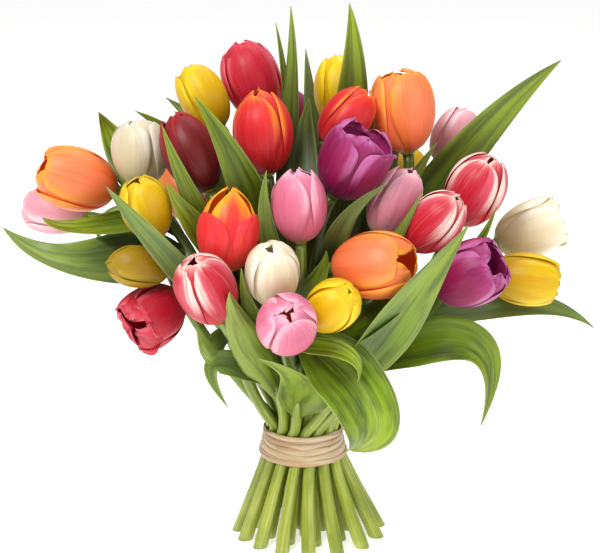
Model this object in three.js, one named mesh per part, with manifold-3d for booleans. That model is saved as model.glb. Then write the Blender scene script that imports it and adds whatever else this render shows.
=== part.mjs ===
// A hand-tied spiral bunch of tulips, standing on its own cut stems. Millimetres, +Z up.
// The origin is the middle of the foot, on the surface that the bunch stands on, and -Y is its front.
// Every stem leans the same way round where it leaves the tie, then bends up to its bloom.
import * as THREE from "three";
import Module from "manifold-3d";
import { mergeVertices } from "three/addons/utils/BufferGeometryUtils.js";

// ---- driving dimensions -------------------------------------------------------------------------------

const STEM_RADIUS = 4.2;
const STEM_SIDES = 6;
const TIED_STATIONS = [0, 0.68, 0.84, 1]; // shares of the stretch from below the ground to above the tie
const BEND_STEPS = 4;
const STEM_BELOW_GROUND = 4; // the stems are made this much too long, then cut level with the ground
const TIE_HEIGHT = 74; // middle of the raffia, above the ground
const SPLAY_BELOW = 0.0145; // how fast the bunch widens below the tie, for each mm of height
const SPLAY_LOPSIDED = 0.4; // the stems on the right splay out by this much more
const SPLAY_ABOVE = 0.003;
const TURN_BELOW = 0.004; // how fast it turns, in radians for each mm of height
const TURN_ABOVE = 0.022;
const TIE_SOFTNESS = 18; // half the height over which a stem takes up its new slope
const TIE_RINGS = [
  { count: 1, radius: 0 },
  { count: 5, radius: 7 }, // pressed against the stem in the middle
  { count: 10, radius: 15.9 },
  { count: 16, radius: 24.9 },
];
const INNER_STEMS = TIE_RINGS[0].count + TIE_RINGS[1].count; // fused into one bunch
const RING_LAG = 50; // degrees that a bloom stands further round the bunch than its stem at the tie
const STEM_LEAD = 0.35; // how far a stem keeps its slope above the tie, as a share of the way to its bloom
const CLEARANCE = 0.3; // between one piece and the next
const SLIVER = 0.02; // edges shorter than this, left where two pieces are joined, are closed up
const RAFFIA_SLACK = 0.6; // between the raffia and the round that the outer stems make, before clearance

const RAFFIA_HEIGHT = 22;
const RAFFIA_THICKNESS = 1.5;
const RAFFIA_WRAPS = 4;
const RAFFIA_BULGE = 0.5; // of each wrap
const RAFFIA_FACETS = 28;
const KNOT_SIZE = { across: 13, high: 11, deep: 8 }; // at the back of the tie
const KNOT_END = { long: 30, wide: 5, drop: 12, out: 12 };

const PETAL_THICKNESS = 1.4;
const PETAL_HALF_ANGLE = 57; // degrees of the cup that half a petal covers at its widest
const OUTER_PETAL_COLUMNS = 3;
const INNER_PETAL_COLUMNS = 2;
const PETAL_STATIONS = [0, 0.3, 0.7, 1]; // shares of the petal's length
const WHORL_STEP = 0.075; // the inner petals stand inside the outer ones by this share of the bloom's width
const RECEPTACLE = { sides: 6, height: 0.11, top: 0.2, bottom: 0.11 }; // shares of the bloom's size
const PETAL_ROOT = 0.3; // how far up the receptacle the petals spring from it
const OUTER_PETAL_HEIGHT = 0.97; // of the inner ones'

const LEAF_THICKNESS = 1.2;
const LEAF_STATIONS = [0, 0.14, 0.34, 0.58, 0.82, 1];
const LEAF_WIDEST = 0.45;
const BLUNT_LEAF_WIDTH = 50; // a leaf wider than this ends round
const LEAF_FOOT = { width: 0.26, sunk: 0.6 }; // its width as a share of the widest; its depth in stem radii
const LEAF_LEAD = 0.3; // how far a leaf follows its stem, as a share of the way to its middle
const LEAF_FOLD = { foot: 60, blade: 18, settled: 0.4 }; // degrees, and where along the leaf it has opened
const LEAF_EVENNESS = 0.3; // the least cosine between the way of a leaf's edge and the way of its rib
const MIDDLE_SHIFT = 0.6; // the share of a leaf's shift that its middle takes

const COLOURS = {
  orange: 0xf58a4a,
  pale_pink: 0xe6b4c8,
  white: 0xeee6d2,
  yellow: 0xf2cc10,
  red: 0xc81e3c,
  dark_red: 0xa01424,
  scarlet: 0xe03c32,
  flame: 0xee6a30,
  striped: 0xe2546e,
  pink: 0xf0a0be,
  purple: 0x8c2878,
  lilac: 0xdca8c4,
  leaf: 0x5a8c32,
  raffia: 0xe0c49c,
};

// ---- the tulips ------------------------------------------------------------------------------------------
// Where the middle of each bloom is, its lean (degrees from upright, and the heading that it leans to, from
// +X towards +Y), its length and width, and how open it is, from 0 for a closed bud to 1 for a wide cup.

const TULIPS = [
  { name: "orange_left", hue: "orange", at: [-165, -15, 280], lean: [72, -169], size: [62, 46], open: 0.35 },
  { name: "pink_left", hue: "pale_pink", at: [-190, 40, 243], lean: [84, 173], size: [52, 34], open: 0.3 },
  { name: "white_left", hue: "white", at: [-118, -20, 301], lean: [6, 149], size: [50, 43], open: 0.15 },
  { name: "yellow_left", hue: "yellow", at: [-110, -70, 271], lean: [20, -140], size: [50, 36], open: 0.1 },
  { name: "yellow_low", hue: "yellow", at: [-116, -83, 232], lean: [80, -162], size: [48, 30], open: 0 },
  { name: "red_low", hue: "red", at: [-105, -73, 195], lean: [111, -139], size: [48, 42], open: 0.7 },
  { name: "dark_red", hue: "dark_red", at: [-80, -45, 306], lean: [29, 151], size: [64, 40], open: 0.1 },
  { name: "yellow_peak", hue: "yellow", at: [-74, 25, 334], lean: [33, 156], size: [54, 36], open: 0.2 },
  { name: "red_high", hue: "red", at: [-38, 40, 344], lean: [25, 145], size: [64, 44], open: 0.1 },
  { name: "scarlet_high", hue: "scarlet", at: [-29, -30, 319], lean: [12, 125], size: [66, 44], open: 0 },
  { name: "flame_front", hue: "flame", at: [-52, -85, 260], lean: [6, 31], size: [64, 44], open: 0 },
  { name: "striped_left", hue: "striped", at: [-66, -115, 224], lean: [30, -134], size: [56, 42], open: 0.1 },
  { name: "white_front", hue: "white", at: [-21, -105, 232], lean: [25, -90], size: [52, 38], open: 0.05 },
  { name: "pink_front", hue: "pink", at: [-11, -139, 206], lean: [55, -86], size: [52, 42], open: 0.05 },
  { name: "pink_middle", hue: "pink", at: [-3, -75, 274], lean: [6, 121], size: [54, 40], open: 0.15 },
  { name: "yellow_front", hue: "yellow", at: [20, -115, 212], lean: [52, -46], size: [48, 36], open: 0.05 },
  { name: "orange_front", hue: "orange", at: [49, -91, 235], lean: [80, -29], size: [64, 48], open: 0.15 },
  { name: "purple_middle", hue: "purple", at: [35, -47, 299], lean: [29, -14], size: [58, 48], open: 0.6 },
  { name: "yellow_high", hue: "yellow", at: [27, 50, 334], lean: [15, 98], size: [58, 38], open: 0.05 },
  { name: "scarlet_small", hue: "scarlet", at: [32, -6, 324], lean: [42, 17], size: [54, 36], open: 0 },
  { name: "orange_high", hue: "orange", at: [74, 16, 325], lean: [9, 148], size: [64, 49], open: 0.1 },
  { name: "pink_far", hue: "pale_pink", at: [116, 60, 298], lean: [39, 38], size: [50, 34], open: 0.1 },
  { name: "lilac_right", hue: "lilac", at: [66, -38, 268], lean: [29, 17], size: [56, 36], open: 0.1 },
  { name: "striped_right", hue: "striped", at: [93, -65, 260], lean: [43, -21], size: [56, 38], open: 0 },
  { name: "striped_far", hue: "striped", at: [126, -15, 272], lean: [27, -15], size: [60, 44], open: 0.05 },
  { name: "purple_right", hue: "purple", at: [117, -70, 222], lean: [61, -26], size: [58, 46], open: 0.4 },
  { name: "white_right", hue: "white", at: [173, 30, 231], lean: [69, 6], size: [58, 42], open: 0.5 },
  { name: "yellow_right", hue: "yellow", at: [165, -10, 203], lean: [96, -7], size: [58, 40], open: 0.2 },
  { name: "purple_back", hue: "purple", at: [-12, 104, 300], lean: [35, 95], size: [58, 42], open: 0.2 },
  { name: "yellow_back", hue: "yellow", at: [78, 118, 256], lean: [55, 55], size: [56, 38], open: 0.1 },
  { name: "red_back", hue: "red", at: [0, 150, 222], lean: [72, 92], size: [60, 42], open: 0.1 },
  { name: "orange_back", hue: "orange", at: [-98, 108, 246], lean: [60, 130], size: [60, 44], open: 0.15 },
];

// ---- the leaves ------------------------------------------------------------------------------------------
// The tulip that each grows on, how far up the free stem (0 at the tie, 1 at the bloom), a point that its
// middle passes, its tip, its greatest width, and the heading and height that its inner face looks to.

const LEAVES = [
  { on: "pink_left", up: 0.15, middle: [-154, -68, 229], tip: [-216, -50, 254], wide: 48, face: [-90, 30] },
  { on: "orange_left", up: 0.3, middle: [-147, -30, 247], tip: [-191, -20, 253], wide: 26, face: [-90, 60] },
  { on: "white_left", up: 0.45, middle: [-143, 18, 290], tip: [-165, 15, 321], wide: 26, face: [-90, 10] },
  { on: "flame_front", up: 0.55, middle: [-106, -98, 257], tip: [-136, -92, 292], wide: 20, face: [-70, 0] },
  { on: "dark_red", up: 0.25, middle: [-80, -72, 284], tip: [-98, -72, 331], wide: 22, face: [-100, 10] },
  { on: "dark_red", up: 0.55, middle: [-84, -78, 266], tip: [-99, -80, 290], wide: 24, face: [-60, 0] },
  { on: "scarlet_high", up: 0.25, middle: [-52, -72, 313], tip: [-76, -68, 350], wide: 34, face: [-90, 5] },
  { on: "red_high", up: 0.3, middle: [-15, 12, 350], tip: [-20, 10, 392], wide: 20, face: [-30, 0] },
  { on: "scarlet_high", up: 0.4, middle: [-7, 2, 345], tip: [-9, 0, 405], wide: 22, face: [-130, 0] },
  { on: "pink_middle", up: 0.3, middle: [1, -20, 305], tip: [4, -15, 340], wide: 28, face: [-90, 0] },
  { on: "yellow_high", up: 0.3, middle: [37, 30, 358], tip: [34, 30, 404], wide: 36, face: [-80, 0] },
  { on: "pink_far", up: 0.25, middle: [139, 15, 315], tip: [189, 5, 365], wide: 36, face: [-90, 20] },
  { on: "orange_high", up: 0.3, middle: [87, -5, 289], tip: [99, 0, 305], wide: 20, face: [-80, 0] },
  { on: "lilac_right", up: 0.15, middle: [31, -85, 270], tip: [60, -88, 296], wide: 24, face: [-90, 30] },
  { on: "orange_front", up: 0.15, middle: [73, -80, 261], tip: [85, -82, 283], wide: 16, face: [-110, 0] },
  { on: "striped_far", up: 0.3, middle: [132, -45, 250], tip: [139, -45, 267], wide: 14, face: [-90, 0] },
  { on: "purple_right", up: 0.2, middle: [80, -112, 226], tip: [113, -112, 269], wide: 44, face: [-60, 30] },
  { on: "yellow_right", up: 0.3, middle: [183, 5, 176], tip: [222, 10, 159], wide: 34, face: [-90, 60] },
  { on: "purple_right", up: 0.3, middle: [101, -55, 170], tip: [131, -50, 101], wide: 36, face: [-80, 30] },
  { on: "pink_front", up: 0.1, middle: [-4, -95, 156], tip: [-33, -100, 170], wide: 40, face: [-90, 20] },
  { on: "striped_left", up: 0.1, middle: [-46, -95, 182], tip: [-61, -128, 229], wide: 30, face: [100, 10] },
  { on: "red_low", up: 0.15, middle: [-63, -70, 167], tip: [-76, -72, 188], wide: 26, face: [120, 0] },
  { on: "yellow_front", up: 0.1, middle: [52, -75, 180], tip: [88, -70, 208], wide: 46, face: [-60, 60] },
  { on: "white_front", up: 0.25, middle: [11, -85, 223], tip: [16, -88, 245], wide: 20, face: [-120, 0] },
  { on: "yellow_peak", up: 0.3, middle: [-107, 25, 313], tip: [-126, 25, 324], wide: 24, face: [-99, 20] },
  { on: "yellow_front", up: 0.3, middle: [36, -108, 152], tip: [34, -94, 104], wide: 52, face: [-90, 45] },
  { on: "striped_left", up: 0.3, middle: [-66, -66, 156], tip: [-58, -70, 122], wide: 20, face: [-110, 30] },
  { on: "pink_front", up: 0.35, middle: [28, -120, 180], tip: [38, -115, 157], wide: 16, face: [-70, 40] },
  { on: "pink_middle", up: 0.45, middle: [-24, -84, 272], tip: [-20, -84, 302], wide: 18, face: [-80, 0] },
  { on: "white_front", up: 0.5, middle: [-40, -108, 220], tip: [-42, -112, 240], wide: 14, face: [-90, 0] },
  { on: "orange_high", up: 0.35, middle: [49, 2, 325], tip: [53, 5, 348], wide: 18, face: [-100, 0] },
  { on: "purple_back", up: 0.3, middle: [20, 100, 290], tip: [30, 110, 345], wide: 34, face: [70, 20] },
  { on: "orange_back", up: 0.3, middle: [-70, 110, 250], tip: [-120, 130, 290], wide: 34, face: [110, 30] },
  { on: "red_back", up: 0.35, middle: [30, 120, 200], tip: [50, 175, 185], wide: 36, face: [90, 60] },
  { on: "yellow_back", up: 0.2, middle: [110, 100, 220], tip: [150, 130, 240], wide: 34, face: [50, 40] },
  { on: "purple_back", up: 0.2, middle: [-40, 95, 240], tip: [-50, 115, 300], wide: 32, face: [100, 10] },
  { on: "pink_left", up: 0.25, middle: [-130, 60, 200], tip: [-180, 90, 180], wide: 34, face: [140, 50] },
  { on: "orange_back", up: 0.2, middle: [-75, 80, 190], tip: [-120, 120, 190], wide: 32, face: [130, 50] },
  { on: "red_back", up: 0.2, middle: [-20, 115, 195], tip: [-45, 165, 215], wide: 34, face: [100, 50] },
  { on: "yellow_back", up: 0.5, middle: [55, 75, 250], tip: [70, 85, 320], wide: 30, face: [60, 10] },
  { on: "pink_far", up: 0.35, middle: [100, 80, 255], tip: [140, 105, 300], wide: 30, face: [40, 20] },
  { on: "white_right", up: 0.3, middle: [115, 60, 185], tip: [165, 85, 165], wide: 34, face: [50, 60] },
  { on: "yellow_high", up: 0.35, middle: [6, 72, 320], tip: [2, 80, 363], wide: 20, face: [90, 0] },
  { on: "red_high", up: 0.35, middle: [-75, 70, 300], tip: [-107, 80, 325], wide: 28, face: [110, 10] },
  { on: "orange_left", up: 0.35, middle: [-110, 25, 225], tip: [-165, 35, 200], wide: 32, face: [150, 60] },
];

// ---- the solid library -----------------------------------------------------------------------------------

const wasm = await Module();
wasm.setup();

// A closed mesh of points and triangles, as a solid.
function solidFrom(points, triangles) {
  const vertProperties = new Float32Array(points.flatMap((point) => [point.x, point.y, point.z]));
  const triVerts = new Uint32Array(triangles.flat());
  return new wasm.Manifold(new wasm.Mesh({ numProp: 3, vertProperties, triVerts }));
}

// One of three.js's closed geometries as a solid, moved by the matrix.
function solidFromGeometry(geometry, matrix = new THREE.Matrix4()) {
  const bare = geometry.index ? geometry.toNonIndexed() : geometry.clone();
  bare.deleteAttribute("normal");
  bare.deleteAttribute("uv");
  const merged = mergeVertices(bare.applyMatrix4(matrix), 1e-3);
  return new wasm.Manifold(
    new wasm.Mesh({
      numProp: 3,
      vertProperties: merged.getAttribute("position").array,
      triVerts: new Uint32Array(merged.index.array),
    }),
  );
}

function geometryFrom(solid) {
  const mesh = solid.getMesh();
  const geometry = new THREE.BufferGeometry();
  geometry.setAttribute("position", new THREE.BufferAttribute(new Float32Array(mesh.vertProperties), 3));
  geometry.setIndex(new THREE.BufferAttribute(new Uint32Array(mesh.triVerts), 1));
  geometry.computeVertexNormals();
  return geometry;
}

function boxesNear(a, b, gap) {
  return [0, 1, 2].every((k) => a.min[k] - gap < b.max[k] && b.min[k] - gap < a.max[k]);
}

function isClear(solid, others) {
  const box = solid.boundingBox();
  return others.every(
    (other) => !boxesNear(box, other.boundingBox(), CLEARANCE) || solid.minGap(other, CLEARANCE) >= CLEARANCE,
  );
}

// The outer skin of a solid's main body, without slivers: loose scraps and sealed hollows are left out.
function wholeBody(solid) {
  const main = solid.decompose().reduce((a, b) => (b.volume() > a.volume() ? b : a));
  return main.simplify(SLIVER);
}

// ---- small geometry helpers ------------------------------------------------------------------------------

const radians = THREE.MathUtils.degToRad;
const UP = new THREE.Vector3(0, 0, 1);

// A unit vector from a heading round +Z and a height above the horizon.
function directionTo(heading, height) {
  const flat = Math.cos(radians(height));
  return new THREE.Vector3(
    flat * Math.cos(radians(heading)),
    flat * Math.sin(radians(heading)),
    Math.sin(radians(height)),
  );
}

// A thin closed blade. Each row is one station: { middles, normals }, running from one edge to the other.
// Both faces share the edge points and are split into triangles alike; the last row is one point, the tip.
function bladeSolid(rows, thickness) {
  const points = [];
  const front = [];
  const back = [];
  rows.forEach(({ middles, normals }) => {
    const frontRow = [];
    const backRow = [];
    middles.forEach((middle, column) => {
      const onEdge = column === 0 || column === middles.length - 1;
      const offset = normals[column].clone().multiplyScalar(onEdge ? 0 : thickness / 2);
      frontRow.push(points.push(middle.clone().add(offset)) - 1);
      backRow.push(onEdge ? frontRow[column] : points.push(middle.clone().sub(offset)) - 1);
    });
    front.push(frontRow);
    back.push(backRow);
  });
  const triangles = [];
  const quad = (a, b, c, d) => triangles.push([a, b, c], [a, c, d]);
  for (let row = 0; row + 1 < rows.length; row++) {
    const isTip = rows[row + 1].middles.length === 1;
    for (let column = 0; column + 1 < front[row].length; column++) {
      const [f0, f1] = [front[row][column], front[row][column + 1]];
      const [b0, b1] = [back[row][column], back[row][column + 1]];
      if (isTip) {
        triangles.push([f0, f1, front[row + 1][0]], [b1, b0, front[row + 1][0]]);
      } else {
        quad(f0, f1, front[row + 1][column + 1], front[row + 1][column]);
        const [b2, b3] = [back[row + 1][column], back[row + 1][column + 1]];
        triangles.push([b0, b3, b1], [b0, b2, b3]);
      }
    }
  }
  // The root end is closed with a fan between the two faces.
  for (let column = 0; column + 1 < front[0].length; column++) {
    const [f0, f1] = [front[0][column], front[0][column + 1]];
    const [b0, b1] = [back[0][column], back[0][column + 1]];
    if (f0 !== b0) triangles.push([f0, b0, b1]);
    if (f1 !== b1) triangles.push([f0, b1, f1]);
  }
  const solid = solidFrom(points, triangles);
  if (solid.volume() > 0) return solid;
  return solidFrom(
    points,
    triangles.map(([a, b, c]) => [a, c, b]),
  );
}

// ---- blooms ----------------------------------------------------------------------------------------------

// The cup's radius as a share of half its width, at a share of its height.
function cupRadius(share, open) {
  const belly = Math.sin(Math.PI * (0.08 + 0.74 * share ** 0.72));
  return belly + (open - 0.22) * share ** 3;
}

// A petal's half width as a share of its greatest.
function petalOutline(share) {
  if (share < 0.5) return 0.2 + 0.8 * Math.sin(Math.PI * share);
  return (1 - ((share - 0.5) / 0.5) ** 2) ** 0.6;
}

function petalSolid({ size: [long, wide], open }, turn, isInner) {
  const inset = isInner ? WHORL_STEP * wide : 0;
  const root = receptacleHeight(long) * PETAL_ROOT;
  const tall = long * (isInner ? 1 : OUTER_PETAL_HEIGHT) - root;
  const count = isInner ? INNER_PETAL_COLUMNS : OUTER_PETAL_COLUMNS;
  const rows = PETAL_STATIONS.map((share) => {
    const radius = (wide / 2) * cupRadius(share, open) - inset;
    const half = radians(PETAL_HALF_ANGLE) * petalOutline(share);
    const columns = share === 1 ? [0] : Array.from({ length: count + 1 }, (_, k) => (2 * k) / count - 1);
    const normals = columns.map((across) => {
      const angle = turn + across * half;
      return new THREE.Vector3(Math.cos(angle), Math.sin(angle), 0);
    });
    const middles = normals.map((normal) => normal.clone().multiplyScalar(radius).setZ(root + share * tall));
    return { middles, normals };
  });
  return bladeSolid(rows, PETAL_THICKNESS);
}

function receptacleHeight(long) {
  return RECEPTACLE.height * long;
}

function bloomSolid(tulip) {
  const [long, wide] = tulip.size;
  const height = receptacleHeight(long);
  const { top, bottom, sides } = RECEPTACLE;
  const receptacle = new THREE.CylinderGeometry(top * wide, bottom * wide, height, sides);
  const place = new THREE.Matrix4().makeRotationX(Math.PI / 2).setPosition(0, 0, height / 2);
  let bloom = solidFromGeometry(receptacle, place);
  for (let petal = 0; petal < 6; petal++) {
    const isInner = petal % 2 === 1;
    bloom = bloom.add(petalSolid(tulip, (petal * Math.PI) / 3, isInner));
  }
  return bloom;
}

function bloomAxis({ lean: [tilt, heading] }) {
  return directionTo(heading, 90 - tilt);
}

function bloomBase(tulip) {
  return new THREE.Vector3(...tulip.at).addScaledVector(bloomAxis(tulip), -tulip.size[0] / 2);
}

function bloomRotation(tulip) {
  return new THREE.Quaternion().setFromUnitVectors(UP, bloomAxis(tulip));
}

// ---- stems -----------------------------------------------------------------------------------------------

// Each stem's place in the tie: blooms near the middle take the inner rings, and in each ring the stems lie
// in the order in which their blooms stand round the bunch.
function tieSlots() {
  const byReach = TULIPS.map((tulip) => ({ tulip, reach: Math.hypot(tulip.at[0], tulip.at[1]) }));
  byReach.sort((a, b) => a.reach - b.reach);
  const slots = new Map();
  let first = 0;
  TIE_RINGS.forEach(({ count, radius }) => {
    const ring = byReach.slice(first, first + count).map(({ tulip }) => tulip);
    ring.sort((a, b) => Math.atan2(a.at[1], a.at[0]) - Math.atan2(b.at[1], b.at[0]));
    const step = (2 * Math.PI) / count;
    // The whole ring is turned so that on average each stem lies RING_LAG behind its bloom.
    let sine = 0;
    let cosine = 0;
    ring.forEach((tulip, k) => {
      const offset = Math.atan2(tulip.at[1], tulip.at[0]) - k * step;
      sine += Math.sin(offset);
      cosine += Math.cos(offset);
    });
    const start = Math.atan2(sine, cosine) - radians(RING_LAG);
    ring.forEach((tulip, k) => {
      const angle = start + k * step;
      slots.set(tulip.name, {
        point: new THREE.Vector3(radius * Math.cos(angle), radius * Math.sin(angle), TIE_HEIGHT),
        isInner: first + k < INNER_STEMS,
      });
    });
    first += count;
  });
  return slots;
}

// The integral of a slope that passes smoothly from one value below the tie to another above it.
function bentLine(height, below, above) {
  const round = Math.hypot(height, TIE_SOFTNESS) - TIE_SOFTNESS;
  return ((above + below) / 2) * height + ((above - below) / 2) * round;
}

// Where a stem that crosses the tie at this point is, at a height above the tie: the whole bunch widens and
// turns as one, so stems that are clear of each other in the tie are clear all the way through it.
function throughTie(point, height) {
  const toTheRight = Math.max(0, point.x / TIE_RINGS.at(-1).radius);
  const grow = 1 + bentLine(height, -SPLAY_BELOW * (1 + SPLAY_LOPSIDED * toTheRight), SPLAY_ABOVE);
  const turn = bentLine(height, TURN_BELOW, TURN_ABOVE);
  const x = grow * point.x - turn * point.y;
  const y = grow * point.y + turn * point.x;
  return new THREE.Vector3(x, y, TIE_HEIGHT + height);
}

class TiedStretch extends THREE.Curve {
  constructor(point, from, to) {
    super();
    Object.assign(this, { point, from, to });
  }

  getPoint(share) {
    return throughTie(this.point, this.from + share * (this.to - this.from));
  }
}

// The whole of a stem's line, with its sections close together where it passes the tie.
class StemLine extends THREE.Curve {
  constructor({ tied, bend }) {
    super();
    const lower = TIED_STATIONS.map((share) => tied.getPoint(share));
    const upper = Array.from({ length: BEND_STEPS }, (_, k) => bend.getPoint((k + 1) / BEND_STEPS));
    this.stations = [...lower, ...upper];
    this.end = bend.getTangent(1);
  }

  getPoint(share) {
    const place = share * (this.stations.length - 1);
    const first = Math.min(Math.floor(place), this.stations.length - 2);
    return this.stations[first].clone().lerp(this.stations[first + 1], place - first);
  }

  getPointAt(share) {
    return this.getPoint(share);
  }

  getTangentAt(share) {
    if (share === 1) return this.end.clone();
    const last = this.stations.length - 1;
    const here = Math.round(share * last);
    const before = this.stations[Math.max(here - 1, 0)];
    const after = this.stations[Math.min(here + 1, last)];
    return after.clone().sub(before).normalize();
  }
}

// A stem's line, through the tie and then in a bend up to its bloom; move says how the bend bows aside.
function stemCurves(tulip, slot, move) {
  const neckHeight = RAFFIA_HEIGHT / 2 + STEM_RADIUS;
  const tied = new TiedStretch(slot.point, -TIE_HEIGHT - STEM_BELOW_GROUND, neckHeight);
  const neck = tied.getPoint(1);
  const axis = bloomAxis(tulip);
  const top = bloomBase(tulip).addScaledVector(axis, -CLEARANCE);
  const reach = top.distanceTo(neck);
  const outward = new THREE.Vector3(top.x, top.y, 0).normalize();
  const sideways = new THREE.Vector3().crossVectors(UP, outward);
  const first = neck
    .clone()
    .addScaledVector(tied.getTangent(1), STEM_LEAD * reach)
    .addScaledVector(outward, move.out)
    .addScaledVector(sideways, move.aside);
  const second = top.clone().addScaledVector(axis, -move.follow * reach);
  return { tied, bend: new THREE.CubicBezierCurve3(neck, first, second, top) };
}

// The bends that are tried, the smallest first, until a stem is clear of blooms and of the stems before it.
const STEM_MOVES = [];
for (const follow of [0.3, 0.2, 0.1]) {
  for (let out = -5; out <= 5; out++) {
    for (let aside = -5; aside <= 5; aside++) STEM_MOVES.push({ follow, out: out * 12, aside: aside * 12 });
  }
}
const stemEffort = ({ follow, out, aside }) => Math.hypot(out, aside) + 160 * Math.abs(follow - 0.3);
STEM_MOVES.sort((a, b) => stemEffort(a) - stemEffort(b));

function stemSolid(curves) {
  const section = new THREE.Shape(
    Array.from({ length: STEM_SIDES }, (_, k) => {
      const angle = (2 * Math.PI * k) / STEM_SIDES;
      return new THREE.Vector2(STEM_RADIUS * Math.cos(angle), STEM_RADIUS * Math.sin(angle));
    }),
  );
  const line = new StemLine(curves);
  const tube = new THREE.ExtrudeGeometry(section, { steps: line.stations.length - 1, extrudePath: line });
  return solidFromGeometry(tube).trimByPlane([0, 0, 1], 0);
}

// ---- leaves ----------------------------------------------------------------------------------------------

// A leaf's half width as a share of its greatest: a clasping foot, a broad middle and a long or blunt point.
function leafOutline(share, isBlunt) {
  const quarter = Math.PI / 2;
  if (share < LEAF_WIDEST) {
    return LEAF_FOOT.width + (1 - LEAF_FOOT.width) * Math.sin((quarter * share) / LEAF_WIDEST) ** 2;
  }
  return Math.cos((quarter * (share - LEAF_WIDEST)) / (1 - LEAF_WIDEST)) ** (isBlunt ? 0.4 : 1.1);
}

// How far a leaf is folded along its rib, in radians: round the stem at its foot, shallower further up.
function leafFold(share) {
  const { foot, blade, settled } = LEAF_FOLD;
  return radians(foot + (blade - foot) * Math.min(1, share / settled));
}

// The leaf's rib. Its foot is sunk in the back of its stem; move shifts its far end and slides its foot up.
function leafRib(leaf, stem, face, move) {
  const up = leaf.up + move.rise;
  const foot = stem.getPoint(up).addScaledVector(face, -STEM_RADIUS * LEAF_FOOT.sunk);
  const along = stem.getTangent(up);
  const across = new THREE.Vector3().crossVectors(along, face).normalize();
  const shift = face.clone().multiplyScalar(move.bend).addScaledVector(across, move.swing);
  const middle = new THREE.Vector3(...leaf.middle).addScaledVector(shift, MIDDLE_SHIFT);
  const tip = new THREE.Vector3(...leaf.tip).add(shift);
  const first = foot.clone().addScaledVector(along, LEAF_LEAD * foot.distanceTo(middle));
  // The third handle is the one that makes the curve pass through the middle point.
  const t = foot.distanceTo(middle) / (foot.distanceTo(middle) + middle.distanceTo(tip));
  const s = 1 - t;
  const second = middle
    .clone()
    .addScaledVector(foot, -(s ** 3))
    .addScaledVector(first, -3 * s * s * t)
    .addScaledVector(tip, -(t ** 3))
    .divideScalar(3 * s * t * t);
  return new THREE.CubicBezierCurve3(foot, first, second, tip);
}

// The direction across a leaf at each station: square to its face where it is widest, and from there carried
// along the rib both ways, so that the blade bends but never twists.
function leafAcross(rib, face) {
  const carried = (shares) => {
    let tangent = rib.getTangent(LEAF_WIDEST);
    let across = new THREE.Vector3().crossVectors(tangent, face).normalize();
    return shares.map((share) => {
      const next = rib.getTangent(share);
      across = across.clone().applyQuaternion(new THREE.Quaternion().setFromUnitVectors(tangent, next));
      tangent = next;
      return across;
    });
  };
  const lower = LEAF_STATIONS.filter((share) => share < LEAF_WIDEST).toReversed();
  const upper = LEAF_STATIONS.filter((share) => share >= LEAF_WIDEST);
  return [...carried(lower).toReversed(), ...carried(upper)];
}

function leafRows(leaf, stem, move) {
  const face = directionTo(...leaf.face);
  const rib = leafRib(leaf, stem, face, move);
  const acrosses = leafAcross(rib, face);
  return LEAF_STATIONS.map((share, station) => {
    const centre = rib.getPoint(share);
    const across = acrosses[station];
    const normal = new THREE.Vector3().crossVectors(across, rib.getTangent(share));
    if (share === 1) return { middles: [centre], normals: [normal] };
    const half = (leaf.wide / 2) * leafOutline(share, leaf.wide > BLUNT_LEAF_WIDTH);
    const fold = leafFold(share);
    const edge = (side) =>
      centre
        .clone()
        .addScaledVector(across, side * half * Math.cos(fold))
        .addScaledVector(normal, half * Math.sin(fold));
    return { middles: [edge(-1), centre, edge(1)], normals: [normal, normal, normal] };
  });
}

// Whether a blade runs on evenly: each edge goes about the same way as the rib between every two stations.
function runsOn(rows) {
  return rows.slice(1).every(({ middles }, before) => {
    const from = rows[before].middles;
    const steps = from.map((point, k) => (middles[k] ?? middles[0]).clone().sub(point).normalize());
    return Math.min(steps[0].dot(steps[1]), steps[2].dot(steps[1])) > LEAF_EVENNESS;
  });
}

function leafSolid(leaf, stem, move) {
  return bladeSolid(leafRows(leaf, stem, move), LEAF_THICKNESS);
}

// The shifts that are tried, the smallest first, until a leaf is clear of everything but its own stem.
const LEAF_MOVES = [];
for (const rise of [0, 0.15, 0.3, 0.45]) {
  for (let bend = -6; bend <= 6; bend++) {
    for (let swing = -5; swing <= 5; swing++) LEAF_MOVES.push({ rise, bend: bend * 5, swing: swing * 5 });
  }
}
const leafEffort = ({ rise, bend, swing }) => Math.hypot(bend, swing) + 40 * rise;
LEAF_MOVES.sort((a, b) => leafEffort(a) - leafEffort(b));

// ---- raffia ----------------------------------------------------------------------------------------------

// How far out the raffia's inner face stands at a height above the middle of the tie.
function raffiaReach(height) {
  const crossing = throughTie(new THREE.Vector3(TIE_RINGS.at(-1).radius, 0, 0), height);
  return Math.hypot(crossing.x, crossing.y) + STEM_RADIUS + CLEARANCE + RAFFIA_SLACK;
}

// A band of a few flat wraps, waisted like the stems that it holds.
function raffiaBand() {
  const inner = [];
  const outer = [];
  const steps = 2 * RAFFIA_WRAPS;
  for (let k = 0; k <= steps; k++) {
    const height = RAFFIA_HEIGHT * (k / steps - 0.5);
    const bulge = k % 2 === 0 ? 0 : RAFFIA_BULGE;
    outer.push(new THREE.Vector2(raffiaReach(height) + RAFFIA_THICKNESS + bulge, height));
    if (k % 4 === 0) inner.push(new THREE.Vector2(raffiaReach(height), height));
  }
  const profile = [...inner, ...outer.reverse(), inner[0].clone()];
  const place = new THREE.Matrix4().makeRotationX(Math.PI / 2).setPosition(0, 0, TIE_HEIGHT);
  return solidFromGeometry(new THREE.LatheGeometry(profile.reverse(), RAFFIA_FACETS), place);
}

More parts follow.
